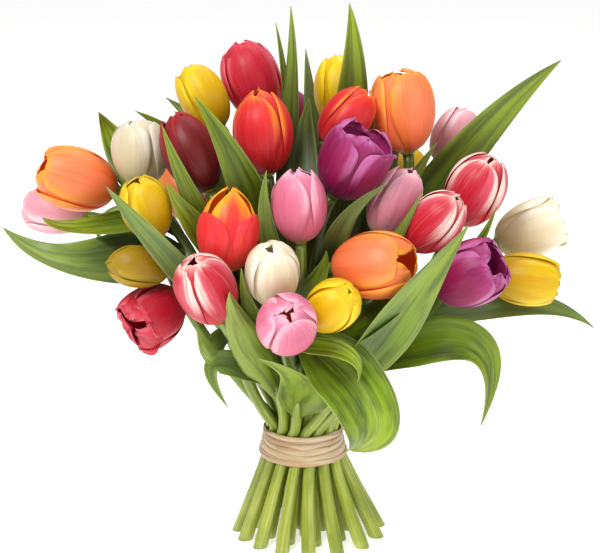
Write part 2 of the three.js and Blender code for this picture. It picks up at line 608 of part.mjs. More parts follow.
// The knot at the back, with its two short ends.
function raffiaKnot() {
  const { across, high, deep } = KNOT_SIZE;
  const centre = new THREE.Vector3(0, raffiaReach(0) + RAFFIA_THICKNESS + 0.3 * deep, TIE_HEIGHT);
  const scale = new THREE.Matrix4().makeScale(across / 2, deep / 2, high / 2);
  let knot = solidFromGeometry(new THREE.IcosahedronGeometry(1, 1), scale.setPosition(centre));
  for (const side of [-1, 1]) {
    const tip = new THREE.Vector3(side * KNOT_END.long, KNOT_END.out, -KNOT_END.drop).add(centre);
    const down = new THREE.Vector3(0, 0, -1);
    const rows = [0, 0.5, 1].map((share) => {
      const middle = centre.clone().lerp(tip, share);
      const half = share === 1 ? [0] : [-1, 0, 1];
      const middles = half.map((edge) => middle.clone().addScaledVector(down, (edge * KNOT_END.wide) / 2));
      return { middles, normals: half.map(() => new THREE.Vector3(0, 1, 0)) };
    });
    knot = knot.add(bladeSolid(rows, RAFFIA_THICKNESS));
  }
  return knot;
}

// ---- the bunch -------------------------------------------------------------------------------------------

const bunch = new THREE.Group();
bunch.name = "tulip_bunch";

function addMesh(name, geometry, colour, roughness) {
  const material = new THREE.MeshStandardMaterial({ color: colour, roughness, metalness: 0 });
  const mesh = new THREE.Mesh(geometry, material);
  mesh.name = name;
  bunch.add(mesh);
  return mesh;
}

const solids = new Map(); // every node's solid, in the bunch's frame

for (const tulip of TULIPS) {
  const bloom = bloomSolid(tulip);
  const mesh = addMesh(`${tulip.name}_bloom`, geometryFrom(bloom), COLOURS[tulip.hue], 0.5);
  mesh.position.copy(bloomBase(tulip));
  mesh.quaternion.copy(bloomRotation(tulip));
  mesh.updateMatrix();
  solids.set(mesh.name, bloom.transform(mesh.matrix.toArray()));
}

const raffia = raffiaBand().add(raffiaKnot());
addMesh("raffia_tie", geometryFrom(raffia), COLOURS.raffia, 0.8);
solids.set("raffia_tie", raffia);

const slots = tieSlots();
const curves = new Map();
const nodeOf = (name) => (slots.get(name).isInner ? "inner_leafy_stems" : `${name}_leafy_stem`);

// The lowest blooms leave their stems the least room, so theirs are placed first.
for (const tulip of TULIPS.toSorted((a, b) => a.at[2] - b.at[2])) {
  const { name } = tulip;
  const slot = slots.get(name);
  const node = nodeOf(name);
  const own = [node, `${name}_bloom`];
  const others = [...solids].filter(([other]) => !own.includes(other)).map(([, solid]) => solid);
  const move = STEM_MOVES.find((candidate) => isClear(stemSolid(stemCurves(tulip, slot, candidate)), others));
  if (!move) throw new Error(`no clear way for the stem of ${name}`);
  curves.set(name, stemCurves(tulip, slot, move));
  const stem = stemSolid(curves.get(name));
  solids.set(node, solids.has(node) ? solids.get(node).add(stem) : stem);
}

for (const leaf of LEAVES) {
  const node = nodeOf(leaf.on);
  const { bend } = curves.get(leaf.on);
  const others = [...solids].filter(([name]) => name !== node).map(([, solid]) => solid);
  const fits = (move) => runsOn(leafRows(leaf, bend, move)) && isClear(leafSolid(leaf, bend, move), others);
  const move = LEAF_MOVES.find(fits);
  if (!move) throw new Error(`no clear place for a leaf of ${leaf.on}`);
  solids.set(node, wholeBody(solids.get(node).add(leafSolid(leaf, bend, move))));
}

for (const [name, solid] of solids) {
  if (name.includes("leafy_stem")) addMesh(name, geometryFrom(solid), COLOURS.leaf, 0.55);
}

export default bunch;
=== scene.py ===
"""The looks of a hand-tied spiral bunch of tulips, over its solid model.

Lengths are millimetres until a mesh is made.
"""

import itertools
import math
from collections import namedtuple

import bpy
import numpy as np
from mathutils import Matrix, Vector


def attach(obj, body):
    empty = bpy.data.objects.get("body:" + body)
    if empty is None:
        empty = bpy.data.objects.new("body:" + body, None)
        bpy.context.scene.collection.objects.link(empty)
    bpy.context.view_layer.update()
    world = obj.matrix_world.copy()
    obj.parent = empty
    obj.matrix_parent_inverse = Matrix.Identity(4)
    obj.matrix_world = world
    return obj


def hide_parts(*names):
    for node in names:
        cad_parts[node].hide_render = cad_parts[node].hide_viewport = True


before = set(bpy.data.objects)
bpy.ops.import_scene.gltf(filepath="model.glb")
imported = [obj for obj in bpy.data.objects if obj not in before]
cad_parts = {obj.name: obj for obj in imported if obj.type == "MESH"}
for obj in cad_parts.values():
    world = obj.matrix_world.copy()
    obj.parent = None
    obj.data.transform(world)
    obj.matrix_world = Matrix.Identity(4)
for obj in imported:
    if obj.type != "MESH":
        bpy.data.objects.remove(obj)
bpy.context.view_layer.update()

MM = 0.001

# ---- the bunch, as the solids have it ----

STEM_RADIUS = 4.2
TIE_HEIGHT = 74
SPLAY_BELOW, SPLAY_LOPSIDED, SPLAY_ABOVE = 0.0145, 0.4, 0.003
TURN_BELOW, TURN_ABOVE = 0.004, 0.022
TIE_SOFTNESS = 18
TIE_RINGS = [(1, 0), (5, 7), (10, 15.9), (16, 24.9)]
INNER_STEMS = 6
RING_LAG = 50
STEM_LEAD = 0.35
CLEARANCE = 0.3
RAFFIA_SLACK = 0.6
RAFFIA_HEIGHT = 22
PETAL_HALF_ANGLE = 57
RECEPTACLE_HEIGHT, RECEPTACLE_TOP, RECEPTACLE_BOTTOM = 0.11, 0.2, 0.11
PETAL_ROOT = 0.3
LEAF_STATIONS = np.array([0, 0.14, 0.34, 0.58, 0.82, 1])
LEAF_WIDEST = 0.45
BLUNT_LEAF_WIDTH = 50
BLUNT_TAPER, SOLID_TAPER, FINE_TAPER = 0.4, 1.1, 0.95
LEAF_FOOT_WIDTH, LEAF_FOOT_SUNK = 0.26, 0.6
LEAF_LEAD = 0.3
LEAF_FOLD_FOOT, LEAF_FOLD_BLADE, LEAF_SETTLED = 60, 18, 0.4
MIDDLE_SHIFT = 0.6

# The small moves that the solids chose from, and how near a solid's corner lies to a place that it has.
STEM_FOLLOWS, STEM_SHIFTS = (0.3, 0.2, 0.1), range(-60, 61, 12)
LEAF_RISES, LEAF_BOWS, LEAF_SWINGS = (0, 0.15, 0.3, 0.45), range(-30, 31, 5), range(-25, 26, 5)
SECTION_NEAR, TIP_NEAR = 0.03, 0.1

# lean is (lean, heading), and size is (length, width).
Tulip = namedtuple("Tulip", "name hue middle lean size opened")
TULIPS = [Tulip(*row) for row in [
    ("orange_left", "orange", (-165, -15, 280), (72, -169), (62, 46), 0.35),
    ("pink_left", "pale_pink", (-190, 40, 243), (84, 173), (52, 34), 0.3),
    ("white_left", "white", (-118, -20, 301), (6, 149), (50, 43), 0.15),
    ("yellow_left", "yellow", (-110, -70, 271), (20, -140), (50, 36), 0.1),
    ("yellow_low", "yellow", (-116, -83, 232), (80, -162), (48, 30), 0),
    ("red_low", "red", (-105, -73, 195), (111, -139), (48, 42), 0.7),
    ("dark_red", "dark_red", (-80, -45, 306), (29, 151), (64, 40), 0.1),
    ("yellow_peak", "yellow", (-74, 25, 334), (33, 156), (54, 36), 0.2),
    ("red_high", "red", (-38, 40, 344), (25, 145), (64, 44), 0.1),
    ("scarlet_high", "scarlet", (-29, -30, 319), (12, 125), (66, 44), 0),
    ("flame_front", "flame", (-52, -85, 260), (6, 31), (64, 44), 0),
    ("striped_left", "striped", (-66, -115, 224), (30, -134), (56, 42), 0.1),
    ("white_front", "white", (-21, -105, 232), (25, -90), (52, 38), 0.05),
    ("pink_front", "pink", (-11, -139, 206), (55, -86), (52, 42), 0.05),
    ("pink_middle", "pink", (-3, -75, 274), (6, 121), (54, 40), 0.15),
    ("yellow_front", "yellow", (20, -115, 212), (52, -46), (48, 36), 0.05),
    ("orange_front", "orange", (49, -91, 235), (80, -29), (64, 48), 0.15),
    ("purple_middle", "purple", (35, -47, 299), (29, -14), (58, 48), 0.6),
    ("yellow_high", "yellow", (27, 50, 334), (15, 98), (58, 38), 0.05),
    ("scarlet_small", "scarlet", (32, -6, 324), (42, 17), (54, 36), 0),
    ("orange_high", "orange", (74, 16, 325), (9, 148), (64, 49), 0.1),
    ("pink_far", "pale_pink", (116, 60, 298), (39, 38), (50, 34), 0.1),
    ("lilac_right", "lilac", (66, -38, 268), (29, 17), (56, 36), 0.1),
    ("striped_right", "striped", (93, -65, 260), (43, -21), (56, 38), 0),
    ("striped_far", "striped", (126, -15, 272), (27, -15), (60, 44), 0.05),
    ("purple_right", "purple", (117, -70, 222), (61, -26), (58, 46), 0.4),
    ("white_right", "white", (173, 30, 231), (69, 6), (58, 42), 0.5),
    ("yellow_right", "yellow", (165, -10, 203), (96, -7), (58, 40), 0.2),
    ("purple_back", "purple", (-12, 104, 300), (35, 95), (58, 42), 0.2),
    ("yellow_back", "yellow", (78, 118, 256), (55, 55), (56, 38), 0.1),
    ("red_back", "red", (0, 150, 222), (72, 92), (60, 42), 0.1),
    ("orange_back", "orange", (-98, 108, 246), (60, 130), (60, 44), 0.15),
]]

# up is how far up its tulip's stem a leaf springs, and face is (heading, height) of its inner side.
Leaf = namedtuple("Leaf", "tulip up middle tip width face")
LEAVES = [Leaf(*row) for row in [
    ("pink_left", 0.15, (-154, -68, 229), (-216, -50, 254), 48, (-90, 30)),
    ("orange_left", 0.3, (-147, -30, 247), (-191, -20, 253), 26, (-90, 60)),
    ("white_left", 0.45, (-143, 18, 290), (-165, 15, 321), 26, (-90, 10)),
    ("flame_front", 0.55, (-106, -98, 257), (-136, -92, 292), 20, (-70, 0)),
    ("dark_red", 0.25, (-80, -72, 284), (-98, -72, 331), 22, (-100, 10)),
    ("dark_red", 0.55, (-84, -78, 266), (-99, -80, 290), 24, (-60, 0)),
    ("scarlet_high", 0.25, (-52, -72, 313), (-76, -68, 350), 34, (-90, 5)),
    ("red_high", 0.3, (-15, 12, 350), (-20, 10, 392), 20, (-30, 0)),
    ("scarlet_high", 0.4, (-7, 2, 345), (-9, 0, 405), 22, (-130, 0)),
    ("pink_middle", 0.3, (1, -20, 305), (4, -15, 340), 28, (-90, 0)),
    ("yellow_high", 0.3, (37, 30, 358), (34, 30, 404), 36, (-80, 0)),
    ("pink_far", 0.25, (139, 15, 315), (189, 5, 365), 36, (-90, 20)),
    ("orange_high", 0.3, (87, -5, 289), (99, 0, 305), 20, (-80, 0)),
    ("lilac_right", 0.15, (31, -85, 270), (60, -88, 296), 24, (-90, 30)),
    ("orange_front", 0.15, (73, -80, 261), (85, -82, 283), 16, (-110, 0)),
    ("striped_far", 0.3, (132, -45, 250), (139, -45, 267), 14, (-90, 0)),
    ("purple_right", 0.2, (80, -112, 226), (113, -112, 269), 44, (-60, 30)),
    ("yellow_right", 0.3, (183, 5, 176), (222, 10, 159), 34, (-90, 60)),
    ("purple_right", 0.3, (101, -55, 170), (131, -50, 101), 36, (-80, 30)),
    ("pink_front", 0.1, (-4, -95, 156), (-33, -100, 170), 40, (-90, 20)),
    ("striped_left", 0.1, (-46, -95, 182), (-61, -128, 229), 30, (100, 10)),
    ("red_low", 0.15, (-63, -70, 167), (-76, -72, 188), 26, (120, 0)),
    ("yellow_front", 0.1, (52, -75, 180), (88, -70, 208), 46, (-60, 60)),
    ("white_front", 0.25, (11, -85, 223), (16, -88, 245), 20, (-120, 0)),
    ("yellow_peak", 0.3, (-107, 25, 313), (-126, 25, 324), 24, (-99, 20)),
    ("yellow_front", 0.3, (36, -108, 152), (34, -94, 104), 52, (-90, 45)),
    ("striped_left", 0.3, (-66, -66, 156), (-58, -70, 122), 20, (-110, 30)),
    ("pink_front", 0.35, (28, -120, 180), (38, -115, 157), 16, (-70, 40)),
    ("pink_middle", 0.45, (-24, -84, 272), (-20, -84, 302), 18, (-80, 0)),
    ("white_front", 0.5, (-40, -108, 220), (-42, -112, 240), 14, (-90, 0)),
    ("orange_high", 0.35, (49, 2, 325), (53, 5, 348), 18, (-100, 0)),
    ("purple_back", 0.3, (20, 100, 290), (30, 110, 345), 34, (70, 20)),
    ("orange_back", 0.3, (-70, 110, 250), (-120, 130, 290), 34, (110, 30)),
    ("red_back", 0.35, (30, 120, 200), (50, 175, 185), 36, (90, 60)),
    ("yellow_back", 0.2, (110, 100, 220), (150, 130, 240), 34, (50, 40)),
    ("purple_back", 0.2, (-40, 95, 240), (-50, 115, 300), 32, (100, 10)),
    ("pink_left", 0.25, (-130, 60, 200), (-180, 90, 180), 34, (140, 50)),
    ("orange_back", 0.2, (-75, 80, 190), (-120, 120, 190), 32, (130, 50)),
    ("red_back", 0.2, (-20, 115, 195), (-45, 165, 215), 34, (100, 50)),
    ("yellow_back", 0.5, (55, 75, 250), (70, 85, 320), 30, (60, 10)),
    ("pink_far", 0.35, (100, 80, 255), (140, 105, 300), 30, (40, 20)),
    ("white_right", 0.3, (115, 60, 185), (165, 85, 165), 34, (50, 60)),
    ("yellow_high", 0.35, (6, 72, 320), (2, 80, 363), 20, (90, 0)),
    ("red_high", 0.35, (-75, 70, 300), (-107, 80, 325), 28, (110, 10)),
    ("orange_left", 0.35, (-110, 25, 225), (-165, 35, 200), 32, (150, 60)),
]]

UP = np.array([0.0, 0.0, 1.0])


def unit(vectors):
    return vectors / np.linalg.norm(vectors, axis=-1, keepdims=True)


def direction_to(heading, height):
    a, b = math.radians(heading), math.radians(height)
    return np.array([math.cos(b) * math.cos(a), math.cos(b) * math.sin(a), math.sin(b)])


def turned(vector, start, end):
    """vector, carried by the smallest turn that takes the unit vector start to end."""
    axis = np.cross(start, end)
    cosine = float(start @ end)
    return vector * cosine + np.cross(axis, vector) + axis * float(axis @ vector) / (1 + cosine)


def bezier(handles, t):
    t = np.asarray(t, float)[..., None]
    a, b, c, d = handles
    return (1 - t) ** 3 * a + 3 * (1 - t) ** 2 * t * b + 3 * (1 - t) * t * t * c + t**3 * d


def bezier_tangent(handles, t):
    t = np.asarray(t, float)[..., None]
    a, b, c, d = handles
    return unit((1 - t) ** 2 * (b - a) + 2 * (1 - t) * t * (c - b) + t * t * (d - c))


def lengths_along(line):
    """How far each point of the line is from its start, along it."""
    return np.concatenate([[0], np.cumsum(np.linalg.norm(np.diff(line, axis=0), axis=1))])


def bent_line(height, below, above):
    curve = math.hypot(height, TIE_SOFTNESS) - TIE_SOFTNESS
    return (above + below) / 2 * height + (above - below) / 2 * curve


def through_tie(point, height):
    to_the_right = max(0, point[0] / TIE_RINGS[-1][1])
    grow = 1 + bent_line(height, -SPLAY_BELOW * (1 + SPLAY_LOPSIDED * to_the_right), SPLAY_ABOVE)
    turn = bent_line(height, TURN_BELOW, TURN_ABOVE)
    x, y = point[:2]
    return np.array([grow * x - turn * y, grow * y + turn * x, TIE_HEIGHT + height])


def bloom_axis(tulip):
    lean, heading = tulip.lean
    return direction_to(heading, 90 - lean)


def bloom_base(tulip):
    return np.array(tulip.middle, float) - bloom_axis(tulip) * tulip.size[0] / 2


def way_round(tulip):
    """In which direction it stands from the middle of the bunch, in radians."""
    return math.atan2(tulip.middle[1], tulip.middle[0])


def tie_slots():
    """Where each tulip's stem crosses the tie, and whether it is one of the innermost stems."""
    by_reach = sorted(TULIPS, key=lambda tulip: math.hypot(*tulip.middle[:2]))
    slots, first = {}, 0
    for count, radius in TIE_RINGS:
        ring = sorted(by_reach[first : first + count], key=way_round)
        step = 2 * math.pi / count
        offsets = [way_round(tulip) - k * step for k, tulip in enumerate(ring)]
        start = math.atan2(sum(map(math.sin, offsets)), sum(map(math.cos, offsets))) - math.radians(RING_LAG)
        for k, tulip in enumerate(ring):
            angle = start + k * step
            point = np.array([radius * math.cos(angle), radius * math.sin(angle), TIE_HEIGHT])
            slots[tulip.name] = (point, first + k < INNER_STEMS)
        first += count
    return slots


NECK_HEIGHT = RAFFIA_HEIGHT / 2 + STEM_RADIUS
SLOTS = tie_slots()


def node_of(name):
    return "inner_leafy_stems" if SLOTS[name][1] else f"{name}_leafy_stem"


def stem_bend(tulip, follow, out, aside):
    """The handles of the bend that takes a stem from the tie to its bloom."""
    point = SLOTS[tulip.name][0]
    neck = through_tie(point, NECK_HEIGHT)
    step = 1e-4 * (NECK_HEIGHT + TIE_HEIGHT + 4)
    slope = unit(neck - through_tie(point, NECK_HEIGHT - step))
    axis = bloom_axis(tulip)
    top = bloom_base(tulip) - axis * CLEARANCE
    reach = np.linalg.norm(top - neck)
    outward = unit(np.array([top[0], top[1], 0]))
    sideways = np.cross(UP, outward)
    first = neck + slope * STEM_LEAD * reach + outward * out + sideways * aside
    return np.array([neck, first, top - axis * follow * reach, top])


def corners_of(node):
    return np.array([vertex.co[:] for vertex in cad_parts[node].data.vertices]) / MM


def found_bend(tulip, corners):
    """The bend that this tulip's solid stem has: most of the solid's corners lie on its sections."""

    def corners_on(bend):
        centres = bezier(bend, [0.25, 0.5, 0.75])
        far = np.linalg.norm(corners[None] - centres[:, None], axis=2)
        return int((abs(far - STEM_RADIUS) < SECTION_NEAR).sum())

    moves = itertools.product(STEM_FOLLOWS, STEM_SHIFTS, STEM_SHIFTS)
    return max((stem_bend(tulip, *move) for move in moves), key=corners_on)


def half_width(leaf, share, taper):
    """Half the leaf's width at each share; taper is how a leaf narrows that isn't blunt."""
    taper = BLUNT_TAPER if leaf.width > BLUNT_LEAF_WIDTH else taper
    low = LEAF_FOOT_WIDTH + (1 - LEAF_FOOT_WIDTH) * np.sin(math.pi / 2 * share / LEAF_WIDEST) ** 2
    cosine = np.cos(math.pi / 2 * np.clip((share - LEAF_WIDEST) / (1 - LEAF_WIDEST), 0, 1))
    return leaf.width / 2 * np.where(share < LEAF_WIDEST, low, np.maximum(cosine, 0) ** taper)


def leaf_fold(share):
    settled = np.minimum(1, share / LEAF_SETTLED)
    return np.radians(LEAF_FOLD_FOOT + (LEAF_FOLD_BLADE - LEAF_FOLD_FOOT) * settled)


def leaf_rib(leaf, bend, rise, bow, swing):
    face = direction_to(*leaf.face)
    foot = bezier(bend, leaf.up + rise) - face * STEM_RADIUS * LEAF_FOOT_SUNK
    along = bezier_tangent(bend, leaf.up + rise)
    shift = face * bow + unit(np.cross(along, face)) * swing
    middle, tip = np.array(leaf.middle) + shift * MIDDLE_SHIFT, np.array(leaf.tip) + shift
    lower, upper = np.linalg.norm(foot - middle), np.linalg.norm(middle - tip)
    first = foot + along * LEAF_LEAD * lower
    t = lower / (lower + upper)
    s = 1 - t
    second = (middle - foot * s**3 - first * 3 * s * s * t - tip * t**3) / (3 * s * t * t)
    return np.array([foot, first, second, tip])


def leaf_frames(leaf, rib, shares):
    """The rib's points, and the directions across and square to the leaf, at each share."""
    face = direction_to(*leaf.face)
    tangents = bezier_tangent(rib, shares)
    acrosses = np.empty_like(tangents)
    start = bezier_tangent(rib, LEAF_WIDEST)
    first = unit(np.cross(start, face))
    split = int(np.searchsorted(shares, LEAF_WIDEST))
    for run in (range(split - 1, -1, -1), range(split, len(shares))):
        tangent, across = start, first
        for k in run:
            across = turned(across, tangent, tangents[k])
            tangent = tangents[k]
            acrosses[k] = across
    return bezier(rib, shares), acrosses, np.cross(acrosses, tangents)


def solid_edges(leaf, rib):
    """Where the solid leaf's two edges and its tip are."""
    shares = LEAF_STATIONS
    centres, acrosses, normals = leaf_frames(leaf, rib, shares)
    half = half_width(leaf, shares, SOLID_TAPER)
    fold = leaf_fold(shares)
    side = acrosses * (half * np.cos(fold))[:, None]
    lift = normals * (half * np.sin(fold))[:, None]
    return np.concatenate([(centres + side + lift)[2:], (centres - side + lift)[2:]])


def found_rib(leaf, bend, corners):
    """The rib that this leaf's solid has: its edges lie nearest to the solid's corners."""

    def gap(rib):
        return np.median(np.linalg.norm(corners[None] - solid_edges(leaf, rib)[:, None], axis=2).min(axis=1))

    moves = itertools.product(LEAF_RISES, LEAF_BOWS, LEAF_SWINGS)
    ribs = (leaf_rib(leaf, bend, *move) for move in moves)
    return min((rib for rib in ribs if np.linalg.norm(corners - rib[3], axis=1).min() <= TIP_NEAR), key=gap)


# ---- meshes ----


def linked(name, data):
    thing = bpy.data.objects.new(name, data)
    bpy.context.scene.collection.objects.link(thing)
    return thing


class Build:
    """Gathers points and faces with their look: a place on the petal, leaf or strand, a tint and a side."""

    def __init__(self):
        self.points, self.faces, self.places, self.looks, self.slots = [], [], [], [], []
        self.count = 0

    def grid(self, points, u, v, look, slot=0, closed=False, flip=False):
        """points is rows by columns by 3, u and v are places, and look is (tint, kind, side, shade)."""
        rows, columns = points.shape[:2]
        self.points.append(points.reshape(-1, 3))
        self.places.append(np.stack(np.broadcast_arrays(u, v), -1).reshape(-1, 2))
        self.looks.append(np.stack([np.broadcast_to(part, (rows, columns)).ravel() for part in look], -1))
        order = self.count + np.arange(rows * columns).reshape(rows, columns)
        if closed:
            order = np.append(order, order[:, :1], axis=1)
        quads = np.stack([order[:-1, :-1], order[:-1, 1:], order[1:, 1:], order[1:, :-1]], -1).reshape(-1, 4)
        self.faces += (quads[:, ::-1] if flip else quads).tolist()
        self.slots += [slot] * len(quads)
        self.count += rows * columns
        return self.count - rows * columns

    def face(self, corners, slot=0):
        self.faces.append(list(corners))
        self.slots.append(slot)

    def object(self, name, materials):
        mesh = bpy.data.meshes.new(name)
        points = np.concatenate(self.points) * MM
        mesh.from_pydata(points.tolist(), [], self.faces)
        for material in materials:
            mesh.materials.append(material)
        mesh.polygons.foreach_set("material_index", self.slots)
        mesh.polygons.foreach_set("use_smooth", [True] * len(self.faces))
        corner = list(itertools.chain(*self.faces))
        uv = mesh.uv_layers.new(name="place")
        uv.data.foreach_set("uv", np.concatenate(self.places)[corner].ravel())
        look = mesh.color_attributes.new(name="look", type="FLOAT_COLOR", domain="POINT")
        look.data.foreach_set("color", np.concatenate(self.looks).ravel())
        mesh.update()
        return linked(name, mesh)


def sheet(build, middle, normal, thickness, across, v, tint, kind, slot=0, shade=1.0):
    """A thin sheet with two faces: the one that normal leaves has side 1, and the other side 0."""
    u = (across + 1) / 2
    depth = thickness / 2 * (1 - 0.7 * np.abs(across) ** 8)[..., None]
    first = build.grid(middle + normal * depth, u, v, (tint, kind, 1, shade), slot)
    second = build.grid(middle - normal * depth, u, v, (tint, kind, 0, shade), slot, flip=True)
    order = np.arange(middle.shape[0] * middle.shape[1]).reshape(middle.shape[:2])
    rim = np.concatenate([order[:, 0], order[-1, 1:], order[-2::-1, -1], order[0, -2:0:-1]]).tolist()
    for a, b in zip(rim, rim[1:] + rim[:1]):
        build.face((first + a, first + b, second + b, second + a), slot)


# Painted shade for stems and leaves: darker toward the middle of the bunch, lighter at its outside.
BUNCH_MIDDLE, BUNCH_REACH = np.array([0, 10, 255]), np.array([190, 165, 165])
INNER_PAINTED_SHADE, OUTER_PAINTED_SHADE = 0.34, 1.08
SHADE_FROM, SHADE_OVER = 0.4, 0.45


def painted_depth_shade(points):
    """Painted shade: how bright the green is drawn, darker deep inside the bunch where the blooms shade it
    and a little lighter at its outside.
    """
    inside = np.linalg.norm((points - BUNCH_MIDDLE) / BUNCH_REACH, axis=-1)
    return INNER_PAINTED_SHADE + (OUTER_PAINTED_SHADE - INNER_PAINTED_SHADE) * np.clip((inside - SHADE_FROM) / SHADE_OVER, 0, 1)


def grid_normals(points):
    """Each grid point's normal, from its neighbours along and across."""
    normals = np.cross(np.gradient(points, axis=1), np.gradient(points, axis=0))
    size = np.linalg.norm(normals, axis=2, keepdims=True)
    return normals / np.maximum(size, 1e-9)


# ---- materials ----


def rgb(code):
    """A colour such as "f2cc10", as a scene-linear value."""
    parts = [int(code[k : k + 2], 16) / 255 for k in (0, 2, 4)]
    return [part / 12.92 if part <= 0.04045 else ((part + 0.055) / 1.055) ** 2.4 for part in parts] + [1]


class Nodes:
    def __init__(self, name):
        self.material = bpy.data.materials.new(name)
        self.material.use_nodes = True
        self.tree = self.material.node_tree
        self.tree.nodes.clear()
        self.shader = self.add("BsdfPrincipled")
        self.put(self.add("OutputMaterial").inputs["Surface"], self.shader.outputs[0])

    def add(self, kind, **settings):
        node = self.tree.nodes.new("ShaderNode" + kind)
        for key, value in settings.items():
            setattr(node, key, value)
        return node

    def put(self, socket, value):
        if isinstance(value, bpy.types.NodeSocket):
            self.tree.links.new(value, socket)
        else:
            socket.default_value = rgb(value) if isinstance(value, str) else value

    def fill(self, node, *values, **named):
        for socket, value in zip(node.inputs, values):
            self.put(socket, value)
        for name, value in named.items():
            self.put(node.inputs[name.replace("_", " ")], value)
        return node.outputs[0]

    def math(self, operation, *values):
        return self.fill(self.add("Math", operation=operation), *values)

    def times(self, a, b):
        return self.math("MULTIPLY", a, b)

    def line(self, x, slope, offset):
        return self.math("MULTIPLY_ADD", x, slope, offset)

    def rest(self, share):
        return self.math("SUBTRACT", 1.0, share)

    def smooth(self, value, low, high, to_low=0.0, to_high=1.0):
        node = self.add("MapRange", interpolation_type="SMOOTHSTEP")
        return self.fill(node, value, low, high, to_low, to_high)

    def mix(self, factor, a, b, blend="MIX"):
        node = self.add("Mix", data_type="RGBA", blend_type=blend)
        for place, value in ((0, factor), (6, a), (7, b)):
            self.put(node.inputs[place], value)
        return node.outputs[2]

    def over(self, colour, code, value, low, high, share):
        """colour, with code laid over it by up to share where value is high."""
        return self.mix(self.smooth(value, low, high, 0.0, share), colour, code)

    def ramp(self, factor, stops):
        node = self.add("ValToRGB")
        elements = node.color_ramp.elements
        while len(elements) < len(stops):
            elements.new(0.5)
        for element, (place, code) in zip(elements, stops):
            element.position = place
            element.color = rgb(code)
        return self.fill(node, factor)

    def vector(self, x, y, z):
        return self.fill(self.add("CombineXYZ"), x, y, z)

    def noise(self, vector, scale=1.0, detail=3.0):
        return self.fill(self.add("TexNoise"), Vector=vector, Scale=scale, Detail=detail, Roughness=0.55)

    def grains(self, u, v, seed, *steps):
        """Noises that are drawn out along v: steps says how often each changes across and along."""
        ways = ((self.line(u, across, seed), self.times(v, along)) for across, along in steps)
        return [self.noise(self.vector(*way, seed)) for way in ways]

    def varied(self, tint, spread, least):
        """A number between least and least + spread that differs from piece to piece."""
        return self.line(self.math("FRACT", self.times(tint, 7.3)), spread, least)

    def darkened(self, colour, shade):
        return self.mix(1.0, colour, self.vector(shade, shade, shade), "MULTIPLY")

    def looks(self):
        """How far across and along the piece, the tint, the kind, the side and the shade."""
        place, look = self.add("SeparateXYZ"), self.add("SeparateColor")
        self.fill(place, self.add("UVMap", uv_map="place").outputs[0])
        source = self.add("Attribute", attribute_name="look").outputs
        self.fill(look, source["Color"])
        return *place.outputs[:2], *look.outputs[:3], source["Alpha"]

    def bump(self, height, strength, distance):
        bumps = self.fill(self.add("Bump"), Height=height, Strength=strength, Distance=distance * MM)
        self.fill(self.shader, Normal=bumps)

    def finish(self, colour, **settings):
        self.fill(self.shader, Base_Color=colour, **settings)
        return self.material


# For each hue: a petal's outside from root to tip, its streaks (colour, how much), its edge (colour, how
# much, from where on), its flame (colour, how much, half width) and its inside. Both places are shares of the
# petal's half width. calm: how much the outer petals lack of the edge and the bright top.
Hue = namedtuple("Hue", "body streaks edge flame inside calm", defaults=[0.0])
